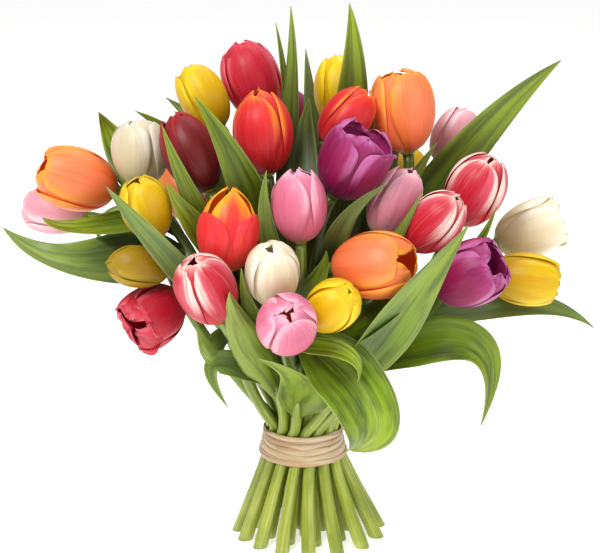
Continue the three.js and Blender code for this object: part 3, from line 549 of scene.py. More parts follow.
# The outsides are darker toward the root: partly the tulips' own colour, partly painted shade where the light
# from above reaches less.
HUES = {
    "orange": Hue(
        [(0, "b8541c"), (0.15, "dc6a2c"), (0.5, "ee8450"), (0.85, "f28a4c"), (1, "f49632")],
        ("e04c20", 0.5), ("f6a02c", 0.85, 0.62), ("ec7654", 0.5, 0.55), "ff5c18",
    ),
    "pale_pink": Hue(
        [(0, "b8947c"), (0.2, "c88c8c"), (0.6, "d4949e"), (1, "e0acb6")],
        ("c07c90", 0.45), ("eed0d6", 0.7, 0.6), ("c48496", 0.4, 0.5), "d88c98",
    ),
    "white": Hue(
        [(0, "a8a868"), (0.2, "ccbc94"), (0.6, "e2d2b6"), (1, "f0e4cc")],
        ("c4ac84", 0.45), ("f8f0e2", 0.7, 0.6), ("ccb88c", 0.4, 0.3), "e8dcb0",
    ),
    "yellow": Hue(
        [(0, "84840c"), (0.18, "bc9804"), (0.6, "d8b004"), (1, "e8c010")],
        ("b87c00", 0.45), ("f2d01c", 0.7, 0.6), ("c49400", 0.45, 0.3), "dc9c00",
    ),
    "red": Hue(
        [(0, "7c1414"), (0.12, "a01020"), (0.5, "c01830"), (0.85, "cc2c40"), (1, "d8485a")],
        ("84040f", 0.6), ("e06878", 0.7, 0.66), ("a00c20", 0.4, 0.5), "a80c18",
    ),
    "dark_red": Hue(
        [(0, "440a08"), (0.15, "58080a"), (0.6, "780c10"), (0.9, "981820"), (1, "b43038")],
        ("340404", 0.6), ("a02028", 0.5, 0.7), ("500608", 0.4, 0.5), "400404",
    ),
    "scarlet": Hue(
        [(0, "780c0c"), (0.15, "a01018"), (0.5, "d0202c"), (0.85, "e43c28"), (1, "ec7020")],
        ("900810", 0.5), ("f49028", 0.85, 0.72), ("c01824", 0.6, 0.6), "d02010",
    ),
    "flame": Hue(
        [(0, "b83030"), (0.25, "dc2c3c"), (0.52, "dc2c40"), (0.72, "ee7c18"), (1, "f6a824")],
        ("c41410", 0.75), ("f6a01c", 0.95, 0.5), ("d8182c", 0.85, 0.4), "f08418", 1.0,
    ),
    "striped": Hue(
        [(0, "8c1c20"), (0.2, "b82438"), (0.5, "cc3c54"), (0.8, "d45c6c"), (1, "dc8c84")],
        ("a81020", 0.75), ("f0d4c8", 0.95, 0.58), ("b81428", 0.9, 0.5), "d01824",
    ),
    "pink": Hue(
        [(0, "a87868"), (0.15, "c0647c"), (0.5, "d26b85"), (0.85, "dc84a0"), (1, "ecacc4")],
        ("b44c6c", 0.5), ("f0bccc", 0.7, 0.62), ("c05878", 0.5, 0.5), "f4602c",
    ),
    "purple": Hue(
        [(0, "54203c"), (0.15, "700c40"), (0.5, "8c0e46"), (0.85, "a0306e"), (1, "b45890")],
        ("58042c", 0.6), ("bc6aa0", 0.75, 0.62), ("700838", 0.45, 0.5), "80104c",
    ),
    "lilac": Hue(
        [(0, "a08860"), (0.2, "b87880"), (0.6, "c4808c"), (1, "d8a4ac")],
        ("9c5068", 0.5), ("e4c0c8", 0.7, 0.62), ("a8607a", 0.45, 0.5), "c07080",
    ),
}

PAINTED_PETAL_GLOW = 0.04  # painted glow: the petals give off a little light of their inside colour, standing in for light that comes through them


def petal_material(hue):
    """A ramp from root to tip under streaks, a lighter edge, a flame along the rib and fine light lines."""
    look = HUES[hue]
    nodes = Nodes(f"petal_{hue}")
    u, v, tint, kind, side, shade = nodes.looks()
    across = nodes.math("ABSOLUTE", nodes.line(u, 2.0, -1.0))
    wide, fine = nodes.grains(u, v, nodes.times(tint, 50.0), (9.0, 1.6), (42.0, 2.2))
    drift = nodes.math("SUBTRACT", wide, 0.5)
    jag = nodes.line(nodes.math("SUBTRACT", fine, 0.5), 0.7, drift)
    calm = nodes.times(nodes.rest(kind), look.calm)
    high = nodes.times(v, nodes.line(calm, -0.45, 1.0))
    # From a darker root, partly painted shade, to the tip.
    colour = nodes.ramp(nodes.line(drift, 0.3, high), look.body)

    code, share = look.streaks
    streak = nodes.smooth(nodes.line(wide, 0.5, nodes.times(fine, 0.5)), 0.47, 0.6)
    colour = nodes.mix(nodes.times(streak, share), colour, code)

    code, share, start = look.edge
    rim = nodes.smooth(nodes.line(jag, 0.6, across), start, start + 0.3)
    top = nodes.smooth(nodes.line(jag, 0.35, v), 0.86, 1.02)
    rim = nodes.math("MAXIMUM", rim, nodes.times(top, 0.85))
    rim = nodes.times(rim, nodes.smooth(v, 0.25, 0.6))
    rim = nodes.times(rim, nodes.rest(calm))
    colour = nodes.mix(nodes.times(rim, share), colour, code)

    code, share, width = look.flame
    flame = nodes.smooth(nodes.line(jag, 0.8, across), width, width * 0.5)
    tall = nodes.smooth(nodes.line(jag, 0.5, v), 0.98, 0.7)
    colour = nodes.mix(nodes.times(nodes.times(flame, tall), share), colour, code)

    colour = nodes.over(colour, look.edge[0], fine, 0.55, 0.75, 0.2)
    within = nodes.mix(nodes.smooth(v, 0.1, 0.95), look.inside, look.body[-2][1])
    colour = nodes.mix(nodes.times(nodes.rest(side), 0.8), colour, within)
    # Painted light and shade: the bloom's shade lightens or darkens the whole petal, times a random tone.
    colour = nodes.darkened(colour, nodes.times(shade, nodes.line(tint, 0.16, 0.92)))
    nodes.bump(nodes.line(fine, 0.6, wide), 0.5, 0.6)
    # The emission is painted glow of the inside colour.
    return nodes.finish(
        colour, Roughness=0.42, Specular_IOR_Level=0.3, Sheen_Weight=0.04, Sheen_Roughness=0.4,
        Subsurface_Weight=0.15, Subsurface_Radius=(1, 0.35, 0.25), Subsurface_Scale=0.003,
        Emission_Color=look.inside, Emission_Strength=PAINTED_PETAL_GLOW,
    )


def leaf_material():
    nodes = Nodes("leaf")
    u, v, tint, _, side, shade = nodes.looks()
    across = nodes.math("ABSOLUTE", nodes.line(u, 2.0, -1.0))
    fine, wide = nodes.grains(u, v, nodes.times(tint, 70.0), (60.0, 1.2), (5.0, 3.0))
    inner = nodes.ramp(v, [(0, "98a430"), (0.2, "80960e"), (0.5, "749206"), (1, "8ea01c")])
    outer = nodes.ramp(v, [(0, "a8b048"), (0.25, "90a228"), (0.6, "8aa02c"), (1, "a2b24c")])
    colour = nodes.mix(side, outer, inner)
    colour = nodes.over(colour, "2c4600", wide, 0.38, 0.66, 0.8)
    colour = nodes.over(colour, "80986c", tint, 0.6, 1.0, 0.4)
    colour = nodes.over(colour, "b0bc6c", fine, 0.42, 0.62, 0.2)
    colour = nodes.over(colour, "b4c078", across, 0.94, 0.99, 0.4)
    # Painted shade from deep inside the bunch, times a random tone for each leaf.
    shade = nodes.times(shade, nodes.varied(tint, 0.4, 0.75))
    # Painted shade: each leaf is drawn darker toward its foot, where the leaves and blooms above shade it.
    colour = nodes.darkened(colour, nodes.times(shade, nodes.smooth(v, 0.0, 0.5, 0.6, 1.0)))
    nodes.bump(nodes.line(wide, 0.5, fine), 0.4, 0.3)
    return nodes.finish(
        colour, Roughness=0.38, Specular_IOR_Level=0.3, Sheen_Weight=0.03, Sheen_Roughness=0.4,
        Subsurface_Weight=0.08, Subsurface_Radius=(0.5, 1, 0.2), Subsurface_Scale=0.002,
    )


def stem_material():
    nodes = Nodes("stem")
    u, v, tint, _, _, shade = nodes.looks()
    fine, wide = nodes.grains(u, v, nodes.times(tint, 30.0), (14.0, 6.0), (3.0, 9.0))
    colour = nodes.ramp(v, [(0, "a0a83c"), (0.2, "94a22e"), (0.4, "749020"), (1, "5c7a14")])
    colour = nodes.over(colour, "c4ca78", fine, 0.42, 0.62, 0.6)
    colour = nodes.over(colour, "6c800c", wide, 0.4, 0.65, 0.6)
    # Painted shade from deep inside the bunch, times a random tone for each stem.
    colour = nodes.darkened(colour, nodes.times(shade, nodes.varied(tint, 0.3, 0.85)))
    nodes.bump(fine, 0.25, 0.3)
    return nodes.finish(
        colour, Roughness=0.34, Specular_IOR_Level=0.5, Subsurface_Weight=0.12,
        Subsurface_Radius=(0.6, 1, 0.3), Subsurface_Scale=0.003,
    )


def cut_material():
    nodes = Nodes("cut_end")
    u, v = nodes.looks()[:2]
    grain = nodes.noise(nodes.vector(nodes.times(u, 20.0), nodes.times(v, 20.0), 0.0), 2.0)
    return nodes.finish(nodes.mix(grain, "c8cc94", "e4e4c0"), Roughness=0.6, Specular_IOR_Level=0.4)


def raffia_material():
    nodes = Nodes("raffia")
    u, v, tint = nodes.looks()[:3]
    fine, wide = nodes.grains(u, v, nodes.times(tint, 40.0), (12.0, 2.0), (1.5, 3.0))
    colour = nodes.ramp(tint, [(0, "b08c68"), (0.35, "c8ac84"), (0.7, "d4bc98"), (1, "dcc0a4")])
    colour = nodes.over(colour, "b09070", fine, 0.45, 0.65, 0.4)
    colour = nodes.over(colour, "e4d4b8", wide, 0.45, 0.7, 0.5)
    nodes.bump(fine, 0.4, 0.3)
    return nodes.finish(
        colour, Roughness=0.5, Specular_IOR_Level=0.4, Sheen_Weight=0.1, Sheen_Roughness=0.5,
    )


def pistil_material():
    """Kind 0 is the pistil and the stalks, and kind 1 is the anthers."""
    nodes = Nodes("pistil")
    u, v, _, kind = nodes.looks()[:4]
    grain = nodes.noise(nodes.vector(nodes.times(u, 8.0), nodes.times(v, 4.0), kind), 3.0)
    stalk = nodes.mix(grain, "a0a850", "c8c878")
    anther = nodes.mix(grain, "2c1c28", "5c4438")
    return nodes.finish(nodes.mix(kind, stalk, anther), Roughness=0.6)


FLOOR_GLOW = 0.62


def floor_material():
    nodes = Nodes("floor")
    place = nodes.add("TexCoord").outputs["Object"]
    colour = nodes.mix(nodes.noise(place, 3.0, 2.0), "f4f4f3", "f8f8f7")
    return nodes.finish(
        colour, Roughness=0.8, Specular_IOR_Level=0.2,
        Emission_Color=(1, 1, 1, 1), Emission_Strength=FLOOR_GLOW,
    )


PETALS = {hue: petal_material(hue) for hue in HUES}
LEAF, STEM, CUT = leaf_material(), stem_material(), cut_material()
RAFFIA, PISTIL = raffia_material(), pistil_material()

# ---- blooms ----

PETAL_ROWS, PETAL_COLUMNS = 26, 17
ROWS_TO_TIP = 1.25  # above 1, the rows crowd toward the tip
PETAL_DEPTH = 0.7

CUP_START, CUP_SWEEP, CUP_BELLY = 0.08, 0.74, 0.72  # the stretch of a sine that the cup's side follows
CUP_UPRIGHT = 0.22  # how open a bloom is whose rim stands upright
CLOSE_FROM, MOUTH_FROM = 0.55, 0.75  # how far up the cup its tips and its mouth start to be drawn in
WHORL_STEP = 0.04  # between the outer petals and the inner ones, as a share of the bloom's width
INNER_COVER = 0.9  # how much wider the inner petals are where they are drawn in, so that they meet

EDGE_LAP, EDGE_CURL, WAVE_DEPTH = 0.01, 0.018, 0.03  # of a petal's free edges, as shares of the bloom's width
RIB_DEPTH, RIB_WIDTH = 0.022, 0.14  # of the crease: shares of the bloom's width and the petal's half width
NIB_HEIGHT, NIB_WIDTH, RAGGED_DEPTH = 0.02, 0.2, 0.012  # of a petal's tip: heights are shares of the length
LENGTH_SPREAD, RADIUS_SPREAD, LEAN_SPREAD = 0.05, 0.03, 0.06  # how much the petals of a bloom differ

# How a bloom differs from the plain one. turn: how far its front petal is turned to the viewer's right, in
# degrees. top: from 2 for a rounded petal to 5 for a square one. point: higher is more pointed. ruffle: how
# much its edges wave. close: how far its tips are drawn in. mouth: how much further the inner ones are. dome:
# how flat the tips lie over the top. outer: the outer petals' height, as a share of the inner ones'.
# shade: painted light and shade, how much lighter or darker the whole bloom is drawn for the light that
# reaches it.
PLAIN = dict(turn=25, top=2.6, point=0.55, ruffle=0.6, close=0.2, mouth=0.55, dome=0.6, outer=0.97, shade=1.0)
BLOOMS = {
    "orange_left": dict(turn=10, top=4, point=0.5, close=0.1, mouth=0.35, dome=0.5),
    "pink_left": dict(turn=20, top=4, close=0, mouth=0.3),
    "white_left": dict(turn=-35, top=4, point=0.45, close=0.4, mouth=0.4, dome=0.8, shade=0.86),
    "yellow_left": dict(turn=20, top=5, point=0.4, close=0.3, mouth=0.6, shade=0.92),
    "yellow_low": dict(turn=15, top=3, close=0.65, mouth=0.3, shade=0.4),
    "red_low": dict(turn=-10, top=3.4, ruffle=2.6, close=0.15, mouth=0.75, shade=0.86),
    "dark_red": dict(turn=20, top=3, ruffle=1.4, dome=0.3),
    "yellow_peak": dict(turn=28, top=4.5, point=0.5, close=0.1, dome=0.4),
    "red_high": dict(turn=8, top=3.2, ruffle=1.2, dome=0.7),
    "scarlet_high": dict(turn=-22, outer=0.94, close=0.4, dome=0.4),
    "flame_front": dict(turn=-52, top=2.2, point=0.7, outer=0.72, close=0.3, ruffle=0.8, dome=0.3),
    "striped_left": dict(turn=35, top=5, point=0.4, close=0.55, mouth=0.4, dome=0.8),
    "white_front": dict(turn=20, top=5.5, point=0.35, ruffle=0.9, close=0.6, mouth=0.38, dome=0.9),
    "pink_front": dict(turn=35, top=5, point=0.4, ruffle=0.8, close=0.6, mouth=0.22, dome=0.7),
    "pink_middle": dict(turn=-35, top=2.4, point=0.7, ruffle=1.3, close=0.15, dome=0.4),
    "yellow_front": dict(turn=5, top=5, point=0.4, close=0.55, mouth=0.4, dome=0.8),
    "orange_front": dict(turn=-15, top=3.4, mouth=0.25, dome=0.8),
    "purple_middle": dict(turn=-50, top=3.4, ruffle=1.8, close=0, mouth=0.3, dome=0.5, outer=0.9),
    "yellow_high": dict(turn=28, top=3, shade=1.15),
    "scarlet_small": dict(turn=30, close=0.4),
    "orange_high": dict(turn=32, top=3, ruffle=0.8, close=0.1, dome=0.8),
    "lilac_right": dict(turn=20, top=4, close=0.1, dome=0.4, shade=1.2),
    "striped_right": dict(turn=-20, top=3.4, close=0.4, mouth=0.4),
    "striped_far": dict(turn=-12, top=3.4, close=0.3, mouth=0.4),
    "purple_right": dict(turn=10, top=3, ruffle=1.4, close=0.1, mouth=0.4),
    "white_right": dict(turn=15, top=3, ruffle=1.6, close=0, mouth=0.3, shade=1.2),
    "yellow_right": dict(turn=5, top=3.4, ruffle=1.0, close=0.1, mouth=0.5),
    "purple_back": dict(turn=15, top=4.5, point=0.4, close=0.35, mouth=0.5),
    "yellow_back": dict(top=4.5, point=0.4, close=0.4, mouth=0.5),
    "red_back": dict(turn=20, top=4.5, point=0.4, close=0.45, mouth=0.5, dome=0.7),
    "orange_back": dict(turn=30, top=4.5, point=0.4, close=0.4, mouth=0.5, shade=0.7),
    "pink_far": dict(shade=1.2),
}


def cup_radius(share, opened):
    """As a share of half the bloom's width: the side is round, and the rim opens or closes."""
    return np.sin(math.pi * (CUP_START + CUP_SWEEP * share**CUP_BELLY)) + (opened - CUP_UPRIGHT) * share**3


def petal_outline(share, shape):
    """Half a petal's width, as a share of the widest."""
    low = 0.62 + 0.38 * np.sin(math.pi * np.minimum(share, 0.5))
    high = np.maximum(1 - ((np.maximum(share, 0.5) - 0.5) / 0.5) ** shape["top"], 0) ** shape["point"]
    return np.where(share < 0.5, low, high)


def rise_of(share, dome):
    """How far up a petal a share of its length is, as a share of its height."""
    return share + dome * share**2 * (1 - share)


def bend_from(level, start):
    return np.clip((level - start) / (1 - start), 0, 1) ** 2


def petal_radius(tulip, shape, level, is_inner):
    """How far a petal is from the bloom's axis at each level, and how much it is drawn in there."""
    wide = tulip.size[1]
    radius = wide / 2 * cup_radius(level, tulip.opened)
    drawn = shape["close"] * bend_from(level, CLOSE_FROM)
    if is_inner:
        radius = radius - WHORL_STEP * wide * np.minimum(1, 3 * level)
        drawn = drawn + shape["mouth"] * bend_from(level, MOUTH_FROM)
    return radius * np.maximum(1 - drawn, 0.04), drawn


def petal_relief(share, across, ruffle, chance):
    """How far a petal lies off its cup, as a share of the bloom's width."""
    edges = (EDGE_LAP * across - EDGE_CURL * across**4) * share
    crease = np.exp(-((across / RIB_WIDTH) ** 2)) - 0.3 * np.cos(2 * math.pi * across)
    wave = np.sin(across * (4 + 3 * chance.random()) + share * 8 + 6 * chance.random())
    wave = wave + 0.6 * np.sin(across * 11 + share * 14 + 6 * chance.random())
    rib = RIB_DEPTH * crease * share**1.2 * (1 - across**2)
    return edges - rib + WAVE_DEPTH * ruffle * wave * across**2 * share**2.5


def petal_rim(share, across, ruffle, chance):
    """How far a petal's end lies off its height, as a share of the bloom's length."""
    ragged = np.sin(across * 6 + 6 * chance.random()) + 0.7 * np.sin(across * 15 + 6 * chance.random())
    nib = np.exp(-((across / NIB_WIDTH) ** 2)) - 1
    return RAGGED_DEPTH * ruffle * (ragged - 1) * share**6 + NIB_HEIGHT * nib * share**8


def petal_points(tulip, shape, petal, turn, chance):
    """A petal's middle surface, rows from root to tip, in the bloom's own frame."""
    long, wide = tulip.size
    is_inner = petal % 2 == 1
    root = RECEPTACLE_HEIGHT * long * PETAL_ROOT
    share = (1 - np.linspace(1, 0, PETAL_ROWS) ** ROWS_TO_TIP)[:, None]
    across = np.linspace(-1, 1, PETAL_COLUMNS)[None, :]
    whole = (1 if is_inner else shape["outer"]) * (1 - LENGTH_SPREAD * chance.random())
    reach = whole * rise_of(share, shape["dome"])
    # Both whorls follow one cup, so the width goes by the height and not by the share.
    steps = np.linspace(0, 1, 201)
    level = np.interp(reach, rise_of(steps, shape["dome"]), steps)
    radius, drawn = petal_radius(tulip, shape, level, is_inner)
    half_angle = math.radians(PETAL_HALF_ANGLE) * petal_outline(share, shape)
    if is_inner:
        half_angle = half_angle * (1 + INNER_COVER * np.minimum(drawn, 1))
    angle = turn + across * half_angle
    radius = radius + wide * petal_relief(share, across, shape["ruffle"], chance)
    radius = radius * (1 + RADIUS_SPREAD * (chance.random() - 0.5) * share)
    height = root + reach * (long - root) + long * petal_rim(share, across, shape["ruffle"], chance)
    lean = LEAN_SPREAD * (chance.random() - 0.5) * wide * share**2
    x = radius * np.cos(angle) - lean * math.sin(turn)
    y = radius * np.sin(angle) + lean * math.cos(turn)
    return np.stack([x, y, np.minimum(height, long)], -1), share, across


def lathe(build, profile, tall, sides, slot, kind=0, aside=(0, 0)):
    """Rings with the profile's (radius, share of tall), leaning toward aside."""
    angles = np.linspace(0, 2 * math.pi, sides, endpoint=False)
    rings = []
    for radius, share in profile:
        x, y = np.array(aside) * (0.5 + share)
        ring = [x + radius * np.cos(angles), y + radius * np.sin(angles), 0 * angles + share * tall]
        rings.append(np.stack(ring, -1))
    u, v = np.linspace(0, 1, sides), np.linspace(0, 1, len(profile))[:, None]
    build.grid(np.array(rings), u, v, (0.5, kind, 1, 1), slot, closed=True)


EYE_ELEVATION, EYE_DISTANCE, AIM_HEIGHT = 15, 1350, 202.5
EYE = UP * AIM_HEIGHT + direction_to(-90, EYE_ELEVATION) * EYE_DISTANCE
PISTIL_FROM = 0.3  # a bloom that is at least this open shows its pistil


def make_bloom(tulip, index):
    shape = {**PLAIN, **BLOOMS.get(tulip.name, {})}
    long, wide = tulip.size
    chance = np.random.default_rng(100 + index)
    build = Build()
    rotation = np.array([turned(side, UP, bloom_axis(tulip)) for side in np.eye(3)])
    toward = rotation @ unit(EYE - np.array(tulip.middle))
    front = math.atan2(toward[1], toward[0]) + math.radians(shape["turn"])
    tone = chance.random()
    for petal in range(6):
        points, share, across = petal_points(tulip, shape, petal, front + petal * math.pi / 3, chance)
        tint = 0.6 * tone + 0.4 * chance.random()
        normals = grid_normals(points)
        sheet(build, points, normals, PETAL_DEPTH, across, share, tint, petal % 2, 0, shape["shade"])
    foot, crown = RECEPTACLE_BOTTOM * wide * 0.9, RECEPTACLE_TOP * wide * 0.9
    receptacle = [(0.1, 0), (foot, 0.02), (crown, 0.8), (0.8 * crown, 1), (0.1, 1)]
    lathe(build, receptacle, RECEPTACLE_HEIGHT * long, 16, 1)
    if tulip.opened >= PISTIL_FROM:
        add_pistil(build, long, wide)
    build.points = [points @ rotation + bloom_base(tulip) for points in build.points]
    piece = build.object(f"{tulip.name}_petals", [PETALS[tulip.hue], STEM, PISTIL])
    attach(piece, "root")
    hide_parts(f"{tulip.name}_bloom")


def add_pistil(build, long, wide):
    """The pistil, and six stamens that lean out from it."""
    tall = 0.42 * long
    pistil = [(0.01, 0), (2.2, 0.05), (2.6, 0.5), (2.2, 0.85), (3.4, 0.95), (2.6, 1), (0.01, 1)]
    stalk = [(0.6, 0.05), (0.6, 0.55)]
    anther = [(0.1, 0.5), (1.5, 0.56), (1.6, 0.75), (0.1, 0.86)]
    lathe(build, pistil, tall, 12, 2)
    for k in range(6):
        aside = 0.13 * wide * direction_to(60 * k + 20, 0)[:2]
        lathe(build, stalk, tall, 6, 2, 0, aside)
        lathe(build, anther, tall, 8, 2, 1, aside)


# ---- stems and leaves ----

STEM_SIDES = 14
STEM_ROWS_BELOW, STEM_ROWS_ABOVE = 22, 30
STEM_FOOT, STEM_SWELL = 80, 0.34  # how long the thicker foot of a stem is, and how much thicker
STEM_COLOUR_LENGTH = 400  # over which a stem goes through its colours


def stem_line(name, bend):
    heights = np.linspace(-TIE_HEIGHT, NECK_HEIGHT, STEM_ROWS_BELOW)[:-1]
    low = [through_tie(SLOTS[name][0], height) for height in heights]
    return np.concatenate([low, bezier(bend, np.linspace(0, 1, STEM_ROWS_ABOVE))])


def add_stem(build, line, tint, chance):
    """A round tube along the line, cut off level with the ground."""
    tangents = unit(np.gradient(line, axis=0))
    side = unit(np.cross(tangents[0], [0.3, 1.0, 0.1]))
    angles = np.linspace(0, 2 * math.pi, STEM_SIDES, endpoint=False)
    lengths = lengths_along(line)
    phase = 6 * chance.random()
    rings = []
    for k, (point, tangent) in enumerate(zip(line, tangents)):
        if k:
            side = turned(side, tangents[k - 1], tangent)
        other = np.cross(tangent, side)
        foot = max(0, 1 - lengths[k] / STEM_FOOT)
        radius = STEM_RADIUS * (0.97 + STEM_SWELL * foot + 0.02 * math.sin(lengths[k] / 23 + phase))
        ring = point + radius * (np.cos(angles)[:, None] * side + np.sin(angles)[:, None] * other)
        if k == 0:
            ring -= tangent * (ring[:, 2:] / tangent[2])
        rings.append(ring)
    rings = np.array(rings)
    u = np.linspace(0, 1, STEM_SIDES)
    v = (lengths / STEM_COLOUR_LENGTH)[:, None]
    first = build.grid(rings, u, v, (tint, 0, 1, painted_depth_shade(rings)), 0, closed=True)
    build.face(range(first + STEM_SIDES - 1, first - 1, -1), 1)
    last = first + (len(line) - 1) * STEM_SIDES
    build.face(range(last, last + STEM_SIDES), 0)


LEAF_ROWS, LEAF_COLUMNS = 40, 13
LEAF_DEPTH = 0.8
LEAF_END = 0.996  # the share of the rib where the last row is, so that the tip keeps a little width
LEAF_ROUNDNESS = 1.7  # 1 is a sharp fold
LEAF_WAVE = 0.045  # how deep the edges wave, as a share of the width


def add_leaf(build, leaf, rib, chance):
    shares = np.linspace(0, LEAF_END, LEAF_ROWS)
    centres, acrosses, normals = leaf_frames(leaf, rib, shares)
    share = shares[:, None]
    across = np.linspace(-1, 1, LEAF_COLUMNS)[None, :]
    half = half_width(leaf, shares, FINE_TAPER)[:, None]
    fold = leaf_fold(shares)[:, None]
    wave = np.sin(share * (7 + 5 * chance.random()) + 2.6 * np.sign(across) + 6 * chance.random())
    lift = half * np.sin(fold) * np.abs(across) ** LEAF_ROUNDNESS
    lift = lift + leaf.width * LEAF_WAVE * wave * np.abs(across) ** 3 * np.sin(math.pi * share)
    reach = across * half * np.cos(fold)
    points = centres[:, None] + acrosses[:, None] * reach[..., None] + normals[:, None] * lift[..., None]
    normals = grid_normals(points)
    sheet(build, points, normals, LEAF_DEPTH, across, share, chance.random(), 0, 2, painted_depth_shade(points))


def make_stems():
    nodes = {}
    for tulip in TULIPS:
        nodes.setdefault(node_of(tulip.name), []).append(tulip)
    for index, (node, tulips) in enumerate(nodes.items()):
        chance = np.random.default_rng(500 + index)
        build = Build()
        corners = corners_of(node)
        for tulip in tulips:
            bend = found_bend(tulip, corners)
            add_stem(build, stem_line(tulip.name, bend), chance.random(), chance)
            for leaf in LEAVES:
                if leaf.tulip == tulip.name:
                    add_leaf(build, leaf, found_rib(leaf, bend, corners), chance)
        piece = build.object(node.replace("leafy", "green_leafy"), [STEM, CUT, LEAF])
        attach(piece, "root")
        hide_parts(node)


# ---- raffia ----

RIBBON_COLUMNS = 5
RIBBON_DEPTH, RIBBON_BULGE = 0.35, 0.12  # a length, and a share of the width
RIBBON_COLOUR_LENGTH = 100  # over which a strand's grain changes
STRANDS, STRANDS_DEPTH = 18, 1.5  # how many are wound, and how deep they lie in all
GOLDEN = 0.618  # a step that spreads the strands evenly over the height
KNOT_TURNS = 7
KNOT_WIDE, KNOT_HIGH, KNOT_DEEP, KNOT_OUT = 5.6, 4.2, 3.4, 2.4
END_FIBRES, END_REACH, END_DROP = 4, 28, 11


def raffia_reach(height):
    point = through_tie(np.array([TIE_RINGS[-1][1], 0, 0]), height)
    return math.hypot(point[0], point[1]) + STEM_RADIUS + CLEARANCE + RAFFIA_SLACK


def add_ribbon(build, line, outward, widths, tint):
    """A flat fibre along the line: outward is its face's direction at each point, and widths its width."""
    side = unit(np.cross(np.gradient(line, axis=0), outward))
    across = np.linspace(-1, 1, RIBBON_COLUMNS)[None, :]
    points = line[:, None] + side[:, None] * (across * widths[:, None] / 2)[..., None]
    points = points - outward[:, None] * (RIBBON_BULGE * widths[:, None] * across**2)[..., None]
    normals = np.repeat(outward[:, None], RIBBON_COLUMNS, axis=1)
    along = (lengths_along(line) / RIBBON_COLOUR_LENGTH)[:, None]
    sheet(build, points, normals, RIBBON_DEPTH, across, along, tint, 0)


def add_wraps(build, chance):
    """Strands around the stems, each a little further out than the one before."""
    angles = np.linspace(0, 2 * math.pi, 97)
    outward = np.stack([np.cos(angles), np.sin(angles), 0 * angles], -1)
    for strand in range(STRANDS):
        centre = RAFFIA_HEIGHT * 0.42 * (2 * ((strand * GOLDEN) % 1) - 1)
        tilt = 2 + 4 * chance.random()
        phase = 0.6 * (chance.random() - 0.5) + (math.pi if strand % 4 == 3 else 0)
        width = 3.5 + 3.5 * chance.random()
        room = RAFFIA_HEIGHT / 2 - width / 2
        heights = centre + tilt * np.sin(angles + phase) + 0.4 * np.sin(5 * angles + 2 * phase)
        heights = np.clip(heights, -room, room)
        radii = np.array([raffia_reach(height) for height in heights]) + 0.2
        radii = radii + STRANDS_DEPTH * strand / STRANDS + 0.12 * np.sin(7 * angles + phase)
        line = outward * radii[:, None]
        line[:, 2] = TIE_HEIGHT + heights
        widths = width * (1 + 0.12 * np.sin(3 * angles + phase))
        add_ribbon(build, line, outward, widths, chance.random())


def add_knot(build, centre, chance):
    """A few turns that cross each other."""
    angles = np.linspace(0, 2 * math.pi, 25)
    for turn in range(KNOT_TURNS):
        tilt = math.radians(20 + 23 * turn)
        aside = (turn / (KNOT_TURNS - 1) - 0.5) * 5
        bulge = KNOT_DEEP * math.sqrt(1 - (aside / 6.5) ** 2)
        swing = 0.3 * (KNOT_WIDE * np.cos(angles) * math.cos(tilt) - aside * math.sin(tilt))
        x = aside * math.cos(tilt) + swing
        z = aside * math.sin(tilt) * 0.6 + KNOT_HIGH * np.sin(angles)
        line = centre + np.stack([x, bulge * np.cos(angles), z], -1)
        add_ribbon(build, line, unit(line - centre), np.full(25, 3.0), chance.random())


def add_ends(build, centre, chance):
    """The raffia's two ends, each frayed into a few fibres."""
    share = np.linspace(0, 1, 16)
    for side, fibre in itertools.product((-1, 1), range(END_FIBRES)):
        x = side * share * (END_REACH - 3 * fibre)
        y = END_DROP * share + 0.6 * fibre
        spread = (fibre - (END_FIBRES - 1) / 2) * 1.1 * share
        z = -END_DROP * share**1.4 + spread + 0.8 * np.sin(5 * share + fibre)
        outward = np.tile(unit(np.array([side * -0.35, 1.0, 0.1])), (16, 1))
        line = centre + np.stack([x, y, z], -1)
        add_ribbon(build, line, outward, 2.2 * (1 - 0.75 * share**3), chance.random())


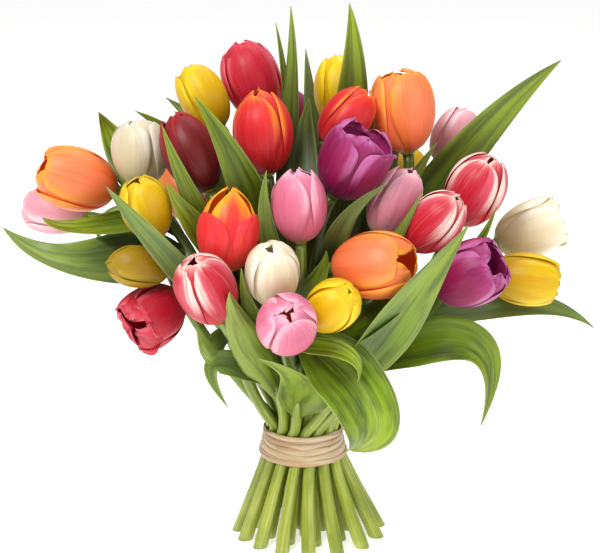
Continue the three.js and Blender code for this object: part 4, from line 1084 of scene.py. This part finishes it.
def make_raffia():
    chance = np.random.default_rng(7)
    build = Build()
    knot = np.array([0, raffia_reach(0) + STRANDS_DEPTH + KNOT_OUT, TIE_HEIGHT])
    add_wraps(build, chance)
    add_knot(build, knot, chance)
    add_ends(build, knot, chance)
    piece = build.object("raffia_strands", [RAFFIA])
    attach(piece, "root")
    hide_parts("raffia_tie")


# ---- camera, light and floor ----

FLOOR_HALF = 12
LAMPS = [  # name, place, power and size, in metres and watts
    ("key", (-0.8, -1.2, 1.8), 39, 0.8),
    ("fill", (1.3, -1.4, 0.9), 10, 1.2),
    ("top", (0.3, 0.5, 1.9), 11, 1.0),
]
LAMPS_AIM = np.array([0, 0, 0.22])
WORLD_GLOW = 0.33


def make_camera():
    camera = bpy.data.cameras.new("camera")
    camera.lens, camera.sensor_width, camera.shift_x = 108, 36, -0.005
    eye = linked("camera", camera)
    eye.location = EYE * MM
    eye.rotation_euler = (math.radians(90 - EYE_ELEVATION), 0, 0)
    bpy.context.scene.camera = eye


def make_floor():
    mesh = bpy.data.meshes.new("floor")
    corners = [(x * FLOOR_HALF, y * FLOOR_HALF, 0) for x, y in ((-1, -1), (1, -1), (1, 1), (-1, 1))]
    mesh.from_pydata(corners, [], [(0, 1, 2, 3)])
    mesh.materials.append(floor_material())
    linked("floor", mesh)


def make_lights():
    world = bpy.data.worlds.new("studio")
    world.use_nodes = True
    background = world.node_tree.nodes["Background"]
    background.inputs["Color"].default_value = (1, 1, 1, 1)
    background.inputs["Strength"].default_value = WORLD_GLOW
    bpy.context.scene.world = world
    for name, place, power, size in LAMPS:
        lamp = bpy.data.lights.new(name, "AREA")
        lamp.energy, lamp.size = power, size
        light = linked(name, lamp)
        light.location = place
        light.rotation_mode = "QUATERNION"
        light.rotation_quaternion = Vector(unit(LAMPS_AIM - np.array(place))).to_track_quat("-Z", "Y")


make_camera()
make_floor()
make_lights()
bpy.context.scene.view_settings.view_transform = "Standard"
for index, tulip in enumerate(TULIPS):
    make_bloom(tulip, index)
make_stems()
make_raffia()
